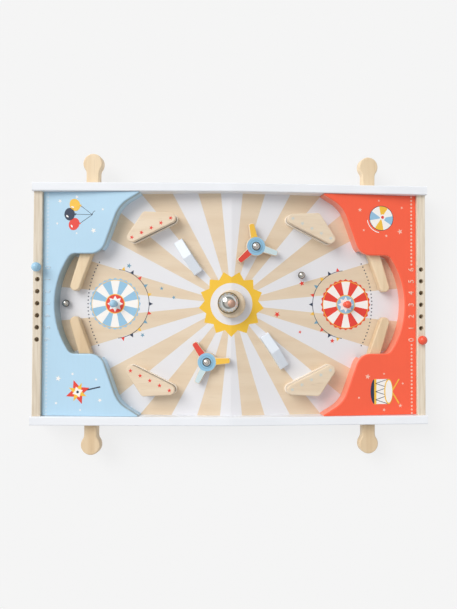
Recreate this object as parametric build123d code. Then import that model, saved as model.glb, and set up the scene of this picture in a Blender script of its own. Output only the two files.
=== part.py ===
"""Two-player tabletop pinball game: one STEP file for each named piece, in millimetres."""

import os
from math import cos, hypot, radians, sqrt, tan

from build123d import *

# Case
case_length = 600.0
inner_width = 338.0
rail_thickness = 13.0
rail_end_height = 45.5
rail_mid_height = 57.0
rail_edge_round = 1.6
wall_height = 40.0
wall_thickness = 13.0
wall_inset = 1.5
wall_edge_round = 1.0
foot_height = 3.0
foot_radius = 5.5
foot_place_share = 0.94

# Sloping boards and what carries them
ridge_height = 40.0
field_slope = 6.0
field_thickness = 5.0
beam_width = 24.0
beam_height = 20.0
cleat_width = 10.0
cleat_depth = 4.6
cleat_start = 13.0

# Frame screws
screw_radius = 2.0
screw_length = 34.0
screw_head_radius = 4.0
screw_head_depth = 2.6
screw_height_shares = (0.26, 0.78)
beam_screw_share = 0.5

# Decks and spacers
spacer_height = 16.0
deck_thickness = 8.0
deck_edge_round = 2.0
deck_tip_share = 0.482
deck_tip_blunt = 2.0
deck_shoulder_shares = (0.588, 0.880)
deck_neck_share = 0.681
pocket_back_share = 0.928
pocket_radius = 128.0
mouth_half = 75.5
shoulder_radius = 45.0
neck_radius = 24.0
lip_radius = 11.0
case_gap = 0.4

# Levers
pivot_share = 0.738
pivot_setback = 29.5
lever_thickness = 14.0
hub_radius = 10.0
handle_width = 20.0
handle_head_radius = 15.0
handle_reach = 47.0
handle_blend = 12.0
bat_tip_radius = 7.4
bat_gap = 39.2
bat_angle = 18.6
lever_edge_round = 2.0
lever_travel = 30.0
channel_clearance = 2.0
slot_clearance = 1.5
slot_play = 0.8
slot_corner = 2.0
pivot_radius = 3.0
pivot_depth_in_field = 4.0
pivot_depth_in_deck = 5.0
washer_radius = 8.0
washer_thickness = 1.0
lever_float = 0.15

# Bumpers
bumper_place_shares = (0.417, 0.678)
bumper_turn = -26.0
bumper_span = 65.5
bumper_apex_along = 33.0
bumper_apex_rise = 19.65
bumper_end_radius = 7.6
bumper_apex_radius = 6.8
bumper_base_height = 6.0
bumper_base_lip = 0.6
bumper_core_height = 9.0
bumper_top_height = 7.0
bumper_core_inset = 4.6
bumper_edge_round = 1.4
band_thickness = 2.0
band_height = 7.0

# Spinners
spinner_place_shares = (0.125, 0.518)
spinner_hub_radius = 14.5
spinner_tip_radius = 35.0
spinner_thickness = 8.0
spinner_edge_round = 1.0
blade_count = 3
blade_root_width = 12.4
blade_tip_width = 8.4
blade_corner = 3.0
blade_start_right = 102.0
blade_start_left = -176.0
bolt_radius = 2.5
bolt_head_radius = 6.6
bolt_head_height = 5.2
bolt_end = 2.0
sleeve_radius = 5.0
sleeve_height = 4.0
nut_across_flats = 8.0
nut_height = 4.0

# Gable-shaped blocks
block_place_shares = (0.228, -0.421)
block_turn = -56.8
block_length = 58.0
block_width = 14.5
block_end_height = 9.0
block_mid_height = 16.2
block_edge_round = 1.0

# Bell
bell_base_radius = 21.0
bell_base_height = 14.0
bell_base_round = 3.0
gong_radius = 16.2
gong_height = 14.0
gong_thickness = 1.3
gong_lift = 2.6
gong_shift_x = -4.6
gong_shift_y = 1.5
stud_radius = 4.0
stud_neck_radius = 2.0
stud_depth = 9.0
rivet_radius = 6.0
rivet_height = 1.5
rivet_crown = 1.4

# Goal posts
post_share = 0.6256
post_head_radius = 5.8
post_neck_radius = 3.9
post_height = 17.0
post_tenon_radius = 2.5
post_tenon_depth = 4.0

# Score holes, pegs and balls
score_count = 7
score_pitch = 18.1
score_hole_radius = 3.5
score_hole_depth = 15.0
peg_radius = 3.2
peg_depth = 13.0
peg_head_radius = 7.0
peg_collar_radius = 4.6
peg_collar_height = 1.6
ball_radius = 5.6
ball_right_place_shares = (0.3755, 0.265)
ball_left_place_shares = (0.888, -0.003)

# Fits
running_fit = 0.05
seat_fit = 0.02
free_gap = 0.3
overrun = 5.0
find_range = 0.5

# Derived sizes
rail_base = foot_height
inner_half = inner_width / 2
rail_outer = inner_half + rail_thickness
wall_outer = case_length / 2 - wall_inset
wall_inner = wall_outer - wall_thickness
wall_middle = (wall_outer + wall_inner) / 2
wall_top = rail_base + wall_height
ridge_z = rail_base + ridge_height
fall = tan(radians(field_slope))
field_run = wall_inner / cos(radians(field_slope))
field_depth = field_thickness / cos(radians(field_slope))
deck_top = spacer_height + deck_thickness
lever_bottom = washer_thickness + lever_float
lever_top = lever_bottom + lever_thickness
pivot_x = pivot_share * field_run
pivot_y = mouth_half + pivot_setback
tip_y = bat_gap / 2 + bat_tip_radius
tip_x = pivot_x + (pivot_y - tip_y) * tan(radians(bat_angle))
head_y = rail_outer + handle_reach - handle_head_radius
bumper_height = bumper_base_height + bumper_core_height + bumper_top_height
rotor_top = sleeve_height + spinner_thickness

os.makedirs("parts", exist_ok=True)

right_field = Pos(0, 0, ridge_z) * Rot(0, field_slope, 0)
half_turn = Rot(0, 0, 180)


def save(name, *solids):
    """Write the solids of one node to its STEP file."""
    shape = solids[0] if len(solids) == 1 else Compound(children=list(solids))
    export_step(shape, os.path.join("parts", name + ".step"))


def front(shape):
    """Mirror a shape of the back half into the front half."""
    return mirror(shape, about=Plane.XZ)


def rod(radius, low, high, x=0.0, y=0.0):
    """Upright cylinder between two heights."""
    foot = (Align.CENTER, Align.CENTER, Align.MIN)
    return Pos(x, y, low) * Cylinder(radius, high - low, align=foot)


def block(x_range, y_range, z_range):
    """Box from three ranges."""
    size = [high - low for low, high in (x_range, y_range, z_range)]
    low_corner = (x_range[0], y_range[0], z_range[0])
    return Pos(*low_corner) * Box(*size, align=(Align.MIN, Align.MIN, Align.MIN))


def side_profile(points, y_range):
    """Solid from an outline of X and Z points, drawn out along Y."""
    face = Plane.XZ * Polygon(*points, align=None)
    return Pos(0, y_range[0], 0) * extrude(face, y_range[1] - y_range[0], dir=(0, 1, 0))


def turned(points):
    """Solid of revolution about Z from an outline of radius and height points."""
    return revolve(Plane.XZ * Polygon(*points, align=None), Axis.Z)


def placed(shares):
    """Place on a board, along the slope and across it."""
    return shares[0] * field_run, shares[1] * inner_half


def round_level(solid, height, radius):
    """Round the edges of a solid that lie at one height."""
    edges = solid.edges().filter_by(lambda e: abs(e.center().Z - height) < find_range * radius)
    return fillet(edges, radius)


case_inside = block(
    (-wall_inner + case_gap, wall_inner - case_gap),
    (-inner_half + case_gap, inner_half - case_gap),
    (0, ridge_z + deck_top + overrun),
)


# Score holes
score_places = [(n - (score_count - 1) / 2) * score_pitch for n in range(score_count)]
peg_y = score_places[0]

# Frame screws, along Y into the end of a wall or beam
screw_tip = screw_length - screw_head_depth
screw_profile = [
    (0, 0),
    (screw_head_radius, 0),
    (screw_radius, screw_head_depth),
    (screw_radius, screw_tip),
    (0, screw_length),
]
screw_hole_profile = [
    (0, -overrun),
    (screw_head_radius + seat_fit, -overrun),
    (screw_head_radius + seat_fit, 0),
    (screw_radius + seat_fit, screw_head_depth),
    (screw_radius + seat_fit, screw_length),
    (0, screw_length),
]
screw_heights = [rail_base + share * wall_height for share in screw_height_shares]
beam_top = ridge_z - field_depth
beam_screw_z = beam_top - beam_height * beam_screw_share
screw_points = [(x, z) for x in (-wall_middle, wall_middle) for z in screw_heights]
screw_points.append((0, beam_screw_z))


def along_rail_screws(profile):
    """All screws or screw holes of both rails."""
    one = turned(profile)
    solids = []
    for x, z in screw_points:
        solids.append(Pos(x, rail_outer, z) * Rot(90, 0, 0) * one)
        solids.append(Pos(x, -rail_outer, z) * Rot(-90, 0, 0) * one)
    return solids


screws = along_rail_screws(screw_profile)
screw_holes = along_rail_screws(screw_hole_profile)

# Lever outline in the board's plane, at rest
lever_neck = Pos(pivot_x, (pivot_y + head_y) / 2) * Rectangle(handle_width, head_y - pivot_y)
lever_head = Pos(pivot_x, head_y) * Circle(handle_head_radius)
lever_hub = Pos(pivot_x, pivot_y) * Circle(hub_radius)
lever_bat_tip = Pos(tip_x, tip_y) * Circle(bat_tip_radius)
lever_bat = make_hull(lever_hub.edges() + lever_bat_tip.edges())
handle_outline = lever_neck + lever_head
blend_y = head_y - sqrt(handle_head_radius**2 - (handle_width / 2) ** 2)
blend_corners = handle_outline.vertices().filter_by(
    lambda v: abs(v.Y - blend_y) < find_range and abs(v.X - pivot_x) < handle_width
)
handle_outline = fillet(blend_corners, handle_blend)
lever_outline = handle_outline + lever_bat + lever_hub


def swung(sketch, angle):
    """Turn a sketch about the lever's pivot, handle towards the end wall."""
    return Pos(pivot_x, pivot_y) * Rot(0, 0, -angle) * Pos(-pivot_x, -pivot_y) * sketch


# Lever channel: the space that the lever sweeps, with clearance
neck_sweep = make_hull(lever_neck.edges() + swung(lever_neck, lever_travel).edges())
swung_tip = swung(lever_bat_tip, lever_travel)
bat_sweep = make_hull(lever_hub.edges() + lever_bat_tip.edges() + swung_tip.edges())
channel = offset(neck_sweep, amount=channel_clearance) + offset(bat_sweep, amount=channel_clearance)

# Slot in the rail for the handle
travel = radians(lever_travel)
slot_low_x = pivot_x - handle_width / 2 - slot_clearance
slot_high_x = (
    pivot_x + (rail_outer - pivot_y) * tan(travel) + handle_width / 2 / cos(travel) + slot_clearance
)
slot = block(
    (slot_low_x, slot_high_x),
    (inner_half - overrun, rail_outer + overrun),
    (lever_bottom - slot_play, lever_top + slot_play),
)
slot = fillet(slot.edges().filter_by(Axis.Y), slot_corner)
back_slots = [right_field * slot, half_turn * right_field * front(slot)]

# Side rails
rail_profile = [
    (-case_length / 2, rail_base),
    (case_length / 2, rail_base),
    (case_length / 2, rail_base + rail_end_height),
    (0, rail_base + rail_mid_height),
    (-case_length / 2, rail_base + rail_end_height),
]
rail_back = side_profile(rail_profile, (inner_half, rail_outer))
peak_edges = rail_back.edges().filter_by(
    lambda e: e.center().Z > rail_base + rail_end_height * (1 - find_range) and e.length > rail_thickness
)
rail_back = fillet(peak_edges, rail_edge_round)
rail_front = front(rail_back)
for hole in back_slots:
    rail_back = rail_back - hole
    rail_front = rail_front - half_turn * hole
for hole in screw_holes:
    rail_back = rail_back - hole
    rail_front = rail_front - hole
save("rail_back", rail_back)
save("rail_front", rail_front)

# End walls
wall = block((wall_inner, wall_outer), (-inner_half, inner_half), (rail_base, wall_top))
wall_long_edges = wall.edges().filter_by(Axis.Y).filter_by(lambda e: e.center().Z > rail_base + wall_height / 2)
wall = fillet(wall_long_edges, wall_edge_round)
for y in score_places:
    wall = wall - rod(score_hole_radius, wall_top - score_hole_depth, wall_top + overrun, wall_middle, y)
wall_left = half_turn * wall
for hole in screw_holes:
    wall = wall - hole
    wall_left = wall_left - hole
save("end_wall_right", wall)
save("end_wall_left", wall_left)

# Sloping boards, mitred at the ridge
wall_drop = wall_inner * fall
field_profile = [
    (0, ridge_z),
    (wall_inner, ridge_z - wall_drop),
    (wall_inner, ridge_z - wall_drop - field_depth),
    (0, ridge_z - field_depth),
]
field = side_profile(field_profile, (-inner_half, inner_half))
spinner_x, spinner_y = placed(spinner_place_shares)
post_x = post_share * field_run
field_holes = [
    rod(pivot_radius + seat_fit, -pivot_depth_in_field, overrun, pivot_x, pivot_y),
    rod(pivot_radius + seat_fit, -pivot_depth_in_field, overrun, pivot_x, -pivot_y),
    rod(bolt_radius + seat_fit, -field_thickness - overrun, overrun, spinner_x, spinner_y),
    rod(post_tenon_radius + seat_fit, -post_tenon_depth, overrun, post_x, 0),
]
for hole in field_holes:
    field = field - right_field * hole
save("playfield_right", field)
save("playfield_left", half_turn * field)

# Ridge beam, its top following both boards
beam_side_drop = beam_width / 2 * fall
beam_profile = [
    (-beam_width / 2, beam_top - beam_height),
    (beam_width / 2, beam_top - beam_height),
    (beam_width / 2, beam_top - beam_side_drop),
    (0, beam_top),
    (-beam_width / 2, beam_top - beam_side_drop),
]
beam = side_profile(beam_profile, (-inner_half, inner_half))
for hole in screw_holes:
    beam = beam - hole
save("ridge_beam", beam)

# Cleats under the boards, along the rails
cleat = right_field * block(
    (cleat_start, field_run + overrun),
    (inner_half - cleat_width, inner_half),
    (-field_thickness - cleat_depth, -field_thickness),
)
cleat = cleat & block((cleat_start, wall_inner), (0, inner_half), (0, ridge_z))
cleats = [cleat, front(cleat)]
cleats += [half_turn * one for one in cleats]
save("panel_cleats", *cleats)

# Feet under the rails
foot_x = foot_place_share * case_length / 2
foot_y = (inner_half + rail_outer) / 2
feet = [rod(foot_radius, 0, foot_height, x, y) for x in (-foot_x, 0, foot_x) for y in (-foot_y, foot_y)]
save("feet", *feet)
save("frame_screws", *screws)

# Deck outline: the whole end of the case less the open playing space
deck_tip_x = deck_tip_share * field_run
shoulder_x, shoulder_y = placed(deck_shoulder_shares)
neck_x = deck_neck_share * field_run
pocket_x = pocket_back_share * field_run
pocket_centre_x = pocket_x - pocket_radius
lip_x = pocket_centre_x + sqrt(pocket_radius**2 - mouth_half**2)
half_outline = [
    (-overrun, inner_half + overrun),
    (deck_tip_x, inner_half + overrun),
    (deck_tip_x, inner_half - deck_tip_blunt),
    (shoulder_x, shoulder_y),
    (neck_x, mouth_half),
    (lip_x, mouth_half),
]
far_outline = [(x, -y) for x, y in reversed(half_outline)]
opening_lines = Polyline(*half_outline) + ThreePointArc(half_outline[-1], (pocket_x, 0), far_outline[0])
opening_lines = opening_lines + Polyline(*far_outline) + Line(far_outline[-1], half_outline[0])
opening = make_face(opening_lines.edges())
rounded = [
    (shoulder_x, shoulder_y, shoulder_radius),
    (neck_x, mouth_half, neck_radius),
    (lip_x, mouth_half, lip_radius),
]
for x, y, radius in rounded:
    corners = opening.vertices().filter_by(
        lambda v: abs(v.X - x) < find_range and abs(abs(v.Y) - y) < find_range
    )
    opening = fillet(corners, radius)
end_middle_x = (field_run + overrun) / 2
deck_sheet = Pos(end_middle_x, 0) * Rectangle(field_run + overrun, inner_width) - opening

# Deck plates
pin_holes = [
    rod(pivot_radius + seat_fit, 0, spacer_height + pivot_depth_in_deck, pivot_x, y)
    for y in (pivot_y, -pivot_y)
]
deck = Pos(0, 0, spacer_height) * extrude(deck_sheet, deck_thickness)
inner_edges = deck.edges().filter_by(
    lambda e: e.center().Z > deck_top - find_range
    and abs(e.center().Y) < inner_half - find_range
    and e.center().X < field_run
    and not (abs(e.center().X - deck_tip_x) < find_range)
)
deck = fillet(inner_edges, deck_edge_round)
for hole in pin_holes:
    deck = deck - hole
deck = (right_field * deck) & case_inside
save("deck_right", deck)
save("deck_left", half_turn * deck)

# Spacers under the deck, parted by the two lever channels
spacer_sheet = deck_sheet - channel - front(channel)
spacers = (right_field * extrude(spacer_sheet, spacer_height)) & case_inside
spacer_solids = spacers.solids().sort_by(lambda s: abs(s.center().Y))
gutter = spacer_solids[0]
corner_spacers = list(spacer_solids[1:])
save("gutter_right", gutter)
save("gutter_left", half_turn * gutter)
save("corner_spacers_right", *corner_spacers)
save("corner_spacers_left", *[half_turn * one for one in corner_spacers])

# Levers
lever = Pos(0, 0, lever_bottom) * extrude(lever_outline, lever_thickness)
lever = round_level(lever, lever_bottom, lever_edge_round)
lever = round_level(lever, lever_top, lever_edge_round)
lever = lever - rod(pivot_radius + running_fit, -overrun, spacer_height + overrun, pivot_x, pivot_y)
levers = {
    "flipper_right_back": right_field * lever,
    "flipper_right_front": right_field * front(lever),
    "flipper_left_front": half_turn * right_field * lever,
    "flipper_left_back": half_turn * right_field * front(lever),
}
for name, one in levers.items():
    save(name, one)
pivots = []
washers = []
for y in (pivot_y, -pivot_y):
    pin = rod(pivot_radius, -pivot_depth_in_field, spacer_height + pivot_depth_in_deck, pivot_x, y)
    washer = rod(washer_radius, 0, washer_thickness, pivot_x, y)
    washer = washer - rod(pivot_radius + seat_fit, -overrun, washer_thickness + overrun, pivot_x, y)
    pivots += [right_field * pin, half_turn * right_field * pin]
    washers += [right_field * washer, half_turn * right_field * washer]
save("flipper_pivots", *pivots)
save("flipper_washers", *washers)


def bumper_outline(grow):
    """Outline of a bumper layer, larger by the given amount."""
    ends = [Pos(x, 0) * Circle(bumper_end_radius + grow) for x in (-bumper_span / 2, bumper_span / 2)]
    apex_x = bumper_apex_along - bumper_span / 2
    apex = Pos(apex_x, bumper_apex_rise) * Circle(bumper_apex_radius + grow)
    return make_hull(ends[0].edges() + ends[1].edges() + apex.edges())


# Bumpers, in layers from the board up
core_low = bumper_base_height
top_low = core_low + bumper_core_height
band_low = core_low + (bumper_core_height - band_height) / 2
core_grow = -bumper_core_inset
base = extrude(bumper_outline(bumper_base_lip), bumper_base_height)
core = Pos(0, 0, core_low) * extrude(bumper_outline(core_grow), bumper_core_height)
band_ring = bumper_outline(core_grow + band_thickness) - bumper_outline(core_grow)
band = Pos(0, 0, band_low) * extrude(band_ring, band_height)
top = Pos(0, 0, top_low) * extrude(bumper_outline(0), bumper_top_height)
top = round_level(top, bumper_height, bumper_edge_round)
bumper_x, bumper_y = placed(bumper_place_shares)
bumper_place = Pos(bumper_x, bumper_y, 0) * Rot(0, 0, bumper_turn)
layers = {"base": base, "core": core, "band": band, "top": top}
for layer, solid in layers.items():
    back = bumper_place * solid
    save("bumper_right_back_" + layer, right_field * back)
    save("bumper_right_front_" + layer, right_field * front(back))
    save("bumper_left_front_" + layer, half_turn * right_field * back)
    save("bumper_left_back_" + layer, half_turn * right_field * front(back))

# Spinners
blade_side = [(0, blade_root_width / 2), (spinner_tip_radius, blade_tip_width / 2)]
blade_outline = blade_side + [(x, -y) for x, y in reversed(blade_side)]
blade = make_face(Polyline(*blade_outline, close=True).edges())
blade_ends = blade.vertices().filter_by(lambda v: v.X > spinner_tip_radius - find_range)
blade = fillet(blade_ends, blade_corner)
rotor_sheet = Circle(spinner_hub_radius)
for n in range(blade_count):
    rotor_sheet = rotor_sheet + Rot(0, 0, n * 360 / blade_count) * blade
rotor = Pos(0, 0, sleeve_height) * extrude(rotor_sheet, spinner_thickness)
rotor = round_level(rotor, rotor_top, spinner_edge_round)
rotor = rotor - rod(bolt_radius + running_fit, 0, rotor_top + overrun)
spinner_place = right_field * Pos(spinner_x, spinner_y, 0)
save("spinner_right", spinner_place * Rot(0, 0, blade_start_right) * rotor)
save("spinner_left", half_turn * spinner_place * Rot(0, 0, blade_start_left) * rotor)

# Spinner bolts: a dome head over the rotor, a shank through sleeve and board, a nut below
head_low = rotor_top + free_gap
dome_radius = (bolt_head_radius**2 + bolt_head_height**2) / (2 * bolt_head_height)
dome = Pos(0, 0, head_low + bolt_head_height - dome_radius) * Sphere(dome_radius)
dome = dome & rod(bolt_head_radius, head_low, head_low + bolt_head_height)
nut_top = -field_thickness
bolt_low = nut_top - nut_height - bolt_end
bolt = dome + rod(bolt_radius, bolt_low, head_low)
sleeve = rod(sleeve_radius, 0, sleeve_height) - rod(bolt_radius + seat_fit, -overrun, sleeve_height + overrun)
nut_corner_radius = nut_across_flats / 2 / cos(radians(30))
nut = Pos(0, 0, nut_top - nut_height) * extrude(RegularPolygon(nut_corner_radius, 6), nut_height)
nut = nut - rod(bolt_radius + seat_fit, bolt_low - overrun, 0)
save("spinner_bolts", spinner_place * bolt, half_turn * spinner_place * bolt)
save("spinner_sleeves", spinner_place * sleeve, half_turn * spinner_place * sleeve)
save("spinner_nuts", spinner_place * nut, half_turn * spinner_place * nut)

# Gable-shaped blocks
hop_profile = [
    (-block_length / 2, 0),
    (block_length / 2, 0),
    (block_length / 2, block_end_height),
    (0, block_mid_height),
    (-block_length / 2, block_end_height),
]
hop = side_profile(hop_profile, (-block_width / 2, block_width / 2))
hop_top_edges = hop.edges().filter_by(
    lambda e: e.center().Z > block_end_height - find_range and abs(e.center().X) > find_range
)
hop = fillet(hop_top_edges, block_edge_round)
hop_x, hop_y = placed(block_place_shares)
hop = right_field * Pos(hop_x, hop_y, 0) * Rot(0, 0, block_turn) * hop
save("hop_block_right", hop)
save("hop_block_left", half_turn * hop)

# Bell, on a base drum that straddles the ridge
base_top = ridge_z + bell_base_height
base_low = ridge_z - bell_base_radius * fall - overrun
bell_base = rod(bell_base_radius, base_low, base_top)
bell_base = round_level(bell_base, base_top, bell_base_round)
bell_base = bell_base - side_profile(
    [
        (0, ridge_z),
        (wall_inner, ridge_z - wall_drop),
        (wall_inner, 0),
        (-wall_inner, 0),
        (-wall_inner, ridge_z - wall_drop),
    ],
    (-inner_half, inner_half),
)
bell_base = bell_base - rod(stud_radius + seat_fit, base_top - stud_depth, base_top + overrun)
gong_rim = base_top + gong_lift
gong_sphere = (gong_radius**2 + gong_height**2) / (2 * gong_height)
gong_centre_z = gong_rim + gong_height - gong_sphere
gong_top = gong_rim + gong_height
gong_place = Pos(gong_shift_x, gong_shift_y, 0)
gong = Pos(0, 0, gong_centre_z) * (Sphere(gong_sphere) - Sphere(gong_sphere - gong_thickness))
gong = gong_place * (gong & rod(gong_radius + overrun, gong_rim, gong_top + overrun))
gong = gong - rod(stud_neck_radius + seat_fit, gong_rim, gong_top + overrun)
shoulder_reach = hypot(gong_shift_x, gong_shift_y) + stud_radius
stud_shoulder = gong_centre_z + sqrt((gong_sphere - gong_thickness) ** 2 - shoulder_reach**2) - seat_fit
stud = rod(stud_radius, base_top - stud_depth, stud_shoulder)
rivet_top = gong_top + rivet_height
stud = stud + rod(stud_neck_radius, stud_shoulder, gong_top + rivet_height / 2)
rivet_dome = (rivet_radius**2 + rivet_crown**2) / (2 * rivet_crown)
rivet = Pos(0, 0, rivet_top - rivet_dome) * Sphere(rivet_dome) & rod(rivet_radius, gong_rim, rivet_top)
rivet = rivet - gong_place * Pos(0, 0, gong_centre_z) * Sphere(gong_sphere + seat_fit)
stud = stud + rivet
save("bell_base", bell_base)
save("bell_gong", gong)
save("bell_stud", stud)

# Goal posts
post_head_z = post_height - post_head_radius
post = rod(post_neck_radius, 0, post_head_z) + rod(post_tenon_radius, -post_tenon_depth, 0)
post = post + Pos(0, 0, post_head_z) * Sphere(post_head_radius)
post = right_field * Pos(post_x, 0, 0) * post
save("goal_post_right", post)
save("goal_post_left", half_turn * post)

# Score pegs, each standing in the hole at its player's own end of the row
peg_head_z = peg_collar_height + sqrt(peg_head_radius**2 - peg_collar_radius**2)
peg = rod(peg_radius, -peg_depth, 0) + rod(peg_collar_radius, 0, peg_head_z)
peg = peg + Pos(0, 0, peg_head_z) * Sphere(peg_head_radius)
peg = Pos(wall_middle, peg_y, wall_top) * peg
save("score_peg_right", peg)
save("score_peg_left", half_turn * peg)

# Balls, just clear of the boards
ball_height = ball_radius + free_gap
ball_right_x, ball_right_y = placed(ball_right_place_shares)
ball_left_x, ball_left_y = placed(ball_left_place_shares)
save("ball_right", right_field * Pos(ball_right_x, ball_right_y, ball_height) * Sphere(ball_radius))
save("ball_left", half_turn * right_field * Pos(ball_left_x, ball_left_y, ball_height) * Sphere(ball_radius))
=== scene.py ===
"""Looks of a wooden two-player tabletop pinball game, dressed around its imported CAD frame."""

import logging
import math
from contextlib import contextmanager
from dataclasses import dataclass, field
from enum import Enum
from typing import Callable, ClassVar, Iterator, Optional, Sequence, Union

import bpy
from mathutils import Matrix, Vector


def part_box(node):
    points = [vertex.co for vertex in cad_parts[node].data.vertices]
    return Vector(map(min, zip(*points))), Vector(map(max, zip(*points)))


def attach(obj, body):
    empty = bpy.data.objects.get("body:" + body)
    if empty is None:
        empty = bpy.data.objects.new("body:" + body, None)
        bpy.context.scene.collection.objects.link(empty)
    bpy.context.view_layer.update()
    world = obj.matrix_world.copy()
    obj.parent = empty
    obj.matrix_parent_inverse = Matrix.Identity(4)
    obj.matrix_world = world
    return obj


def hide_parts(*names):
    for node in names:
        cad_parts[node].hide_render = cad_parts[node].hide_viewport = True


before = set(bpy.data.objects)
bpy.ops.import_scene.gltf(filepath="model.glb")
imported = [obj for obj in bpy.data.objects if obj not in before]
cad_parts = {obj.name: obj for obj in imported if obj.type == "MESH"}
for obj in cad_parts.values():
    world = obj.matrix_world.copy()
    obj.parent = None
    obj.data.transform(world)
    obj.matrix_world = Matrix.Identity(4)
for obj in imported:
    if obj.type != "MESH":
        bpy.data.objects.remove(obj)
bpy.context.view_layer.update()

LOG = logging.getLogger("pinball")
CASE = "case"
MM = 0.001
FULL_TURN = 2 * math.pi

# Sizes that several pieces share, in millimetres and degrees.
RIDGE = 43.0
BOARD_TILT = 6.0
DECK_HEIGHT = 24.0
POST_ALONG = 179.6

# Growth bands in a metre of plain wood, and how level a face is that counts as a top.
RINGS = 95.0
LEVEL = 0.93

Colour = tuple[float, float, float]
Spot = tuple[float, float, float]
Place = tuple[float, float]


def tone(red: int, green: int, blue: int) -> Colour:
    """Turn a display colour into the linear values that shaders use.

    Args:
        red: Red from 0 to 255.
        green: Green from 0 to 255.
        blue: Blue from 0 to 255.

    Returns:
        The linear colour.
    """
    low_limit, low_slope, offset, power = 0.04045, 12.92, 0.055, 2.4
    shares = [value / 255 for value in (red, green, blue)]
    return tuple(
        share / low_slope if share <= low_limit else ((share + offset) / (1 + offset)) ** power
        for share in shares
    )


def shaded(colour: Colour, share: float) -> Colour:
    """Multiply each channel of a linear colour by one share."""
    return tuple(min(1.0, channel * share) for channel in colour)


class Grain(Enum):
    """Direction in which fibres or scratches run, as shares of a pattern's scale."""

    ALONG = (0.05, 1.0, 1.0)
    ACROSS = (1.0, 0.05, 1.0)
    UPRIGHT = (1.0, 1.0, 0.05)


class Pattern(Enum):
    """Random patterns: cells in a metre, octaves, and strength of the finer octaves."""

    WOOD_BANDS = (RINGS, 2.0, 0.55)
    WOOD_FIBRES = (900.0, 4.0, 0.65)
    WOOD_FLECKS = (420.0, 2.0, 0.55)
    WOOD_CLOUD = (18.0, 2.0, 0.55)
    PAINT_CLOUD = (14.0, 3.0, 0.55)
    PAINT_FIBRES = (420.0, 3.0, 0.55)
    PAINT_PEEL = (650.0, 2.0, 0.55)
    INK_SPECKLE = (1400.0, 2.0, 0.55)
    SKIN_CLOUD = (60.0, 2.0, 0.55)
    METAL_SMUDGE = (90.0, 4.0, 0.60)
    METAL_HAIR = (2200.0, 2.0, 0.55)
    RUBBER_PEBBLE = (1100.0, 3.0, 0.55)
    BAND_FUZZ = (700.0, 3.0, 0.55)
    BOARD_SPECKLE = (1500.0, 2.0, 0.55)
    BOARD_CLOUD = (22.0, 3.0, 0.55)
    BLADE_CLOUD = (160.0, 3.0, 0.55)


class Slot(Enum):
    """Material slots of the record, given with each new piece."""

    CORAL = "coral_paint"
    BLUE = "blue_paint"
    PRINT = "printed_plywood"
    WOOD = "natural_wood"
    CHROME = "bright_chrome"
    STEEL = "steel"


class Row(Enum):
    """The two long sides, as the nodes name them."""

    BACK = "back"
    FRONT = "front"


class Side(Enum):
    """The two ends, as the nodes name them; each has a board that falls away from the ridge."""

    RIGHT = "right"
    LEFT = "left"

    def turn(self) -> Matrix:
        """Half turn from the right end to the left one, or none."""
        return Matrix.Rotation(math.pi if self is Side.LEFT else 0.0, 4, "Z")

    def board(self, along: float = 0.0, across: float = 0.0, above: float = 0.0) -> Matrix:
        """Matrix from a place on this end's board to the case.

        Args:
            along: Distance down the slope in millimetres.
            across: Distance towards the board's own back.
            above: Distance off the board.

        Returns:
            The matrix in metres.
        """
        tilt = Matrix.Rotation(math.radians(BOARD_TILT), 4, "Y")
        board = Matrix.Translation((0, 0, RIDGE * MM)) @ tilt
        return self.turn() @ (board @ Matrix.Translation((along * MM, across * MM, above * MM)))


def maths(operation: str, swapped: bool = False) -> Callable[..., "Socket"]:
    """Make a method that adds one Math node.

    Args:
        operation: Name of the Math node's operation.
        swapped: Whether the other value comes first, as in a reflected operator.

    Returns:
        The method.
    """

    def method(self: "Socket", *others: "Amount") -> "Socket":
        """Work the operation out on this value and any other."""
        values = (*others, self) if swapped else (self, *others)
        return self.tree.node("ShaderNodeMath", {"operation": operation}, dict(enumerate(values)))

    return method


class Socket:
    """A shader value that Python operators turn into Math nodes."""

    # Each of these is a method that adds one Math node.
    __add__, __radd__ = maths("ADD"), maths("ADD", True)
    __sub__, __rsub__ = maths("SUBTRACT"), maths("SUBTRACT", True)
    __mul__, __rmul__ = maths("MULTIPLY"), maths("MULTIPLY", True)
    __truediv__, __rtruediv__ = maths("DIVIDE"), maths("DIVIDE", True)
    __lt__, __gt__ = maths("LESS_THAN"), maths("GREATER_THAN")
    __abs__, part, root = maths("ABSOLUTE"), maths("FRACT"), maths("SQRT")
    at_least, at_most = maths("MAXIMUM"), maths("MINIMUM")
    sine, cosine, angle_over = maths("SINE"), maths("COSINE"), maths("ARCTAN2")

    def __init__(self, tree: "Tree", output: bpy.types.NodeSocket) -> None:
        """Keep the tree and the output that holds the value."""
        self.tree = tree
        self.output = output


Amount = Union[Socket, float]
Given = Union[Socket, float, Sequence[float]]


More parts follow.
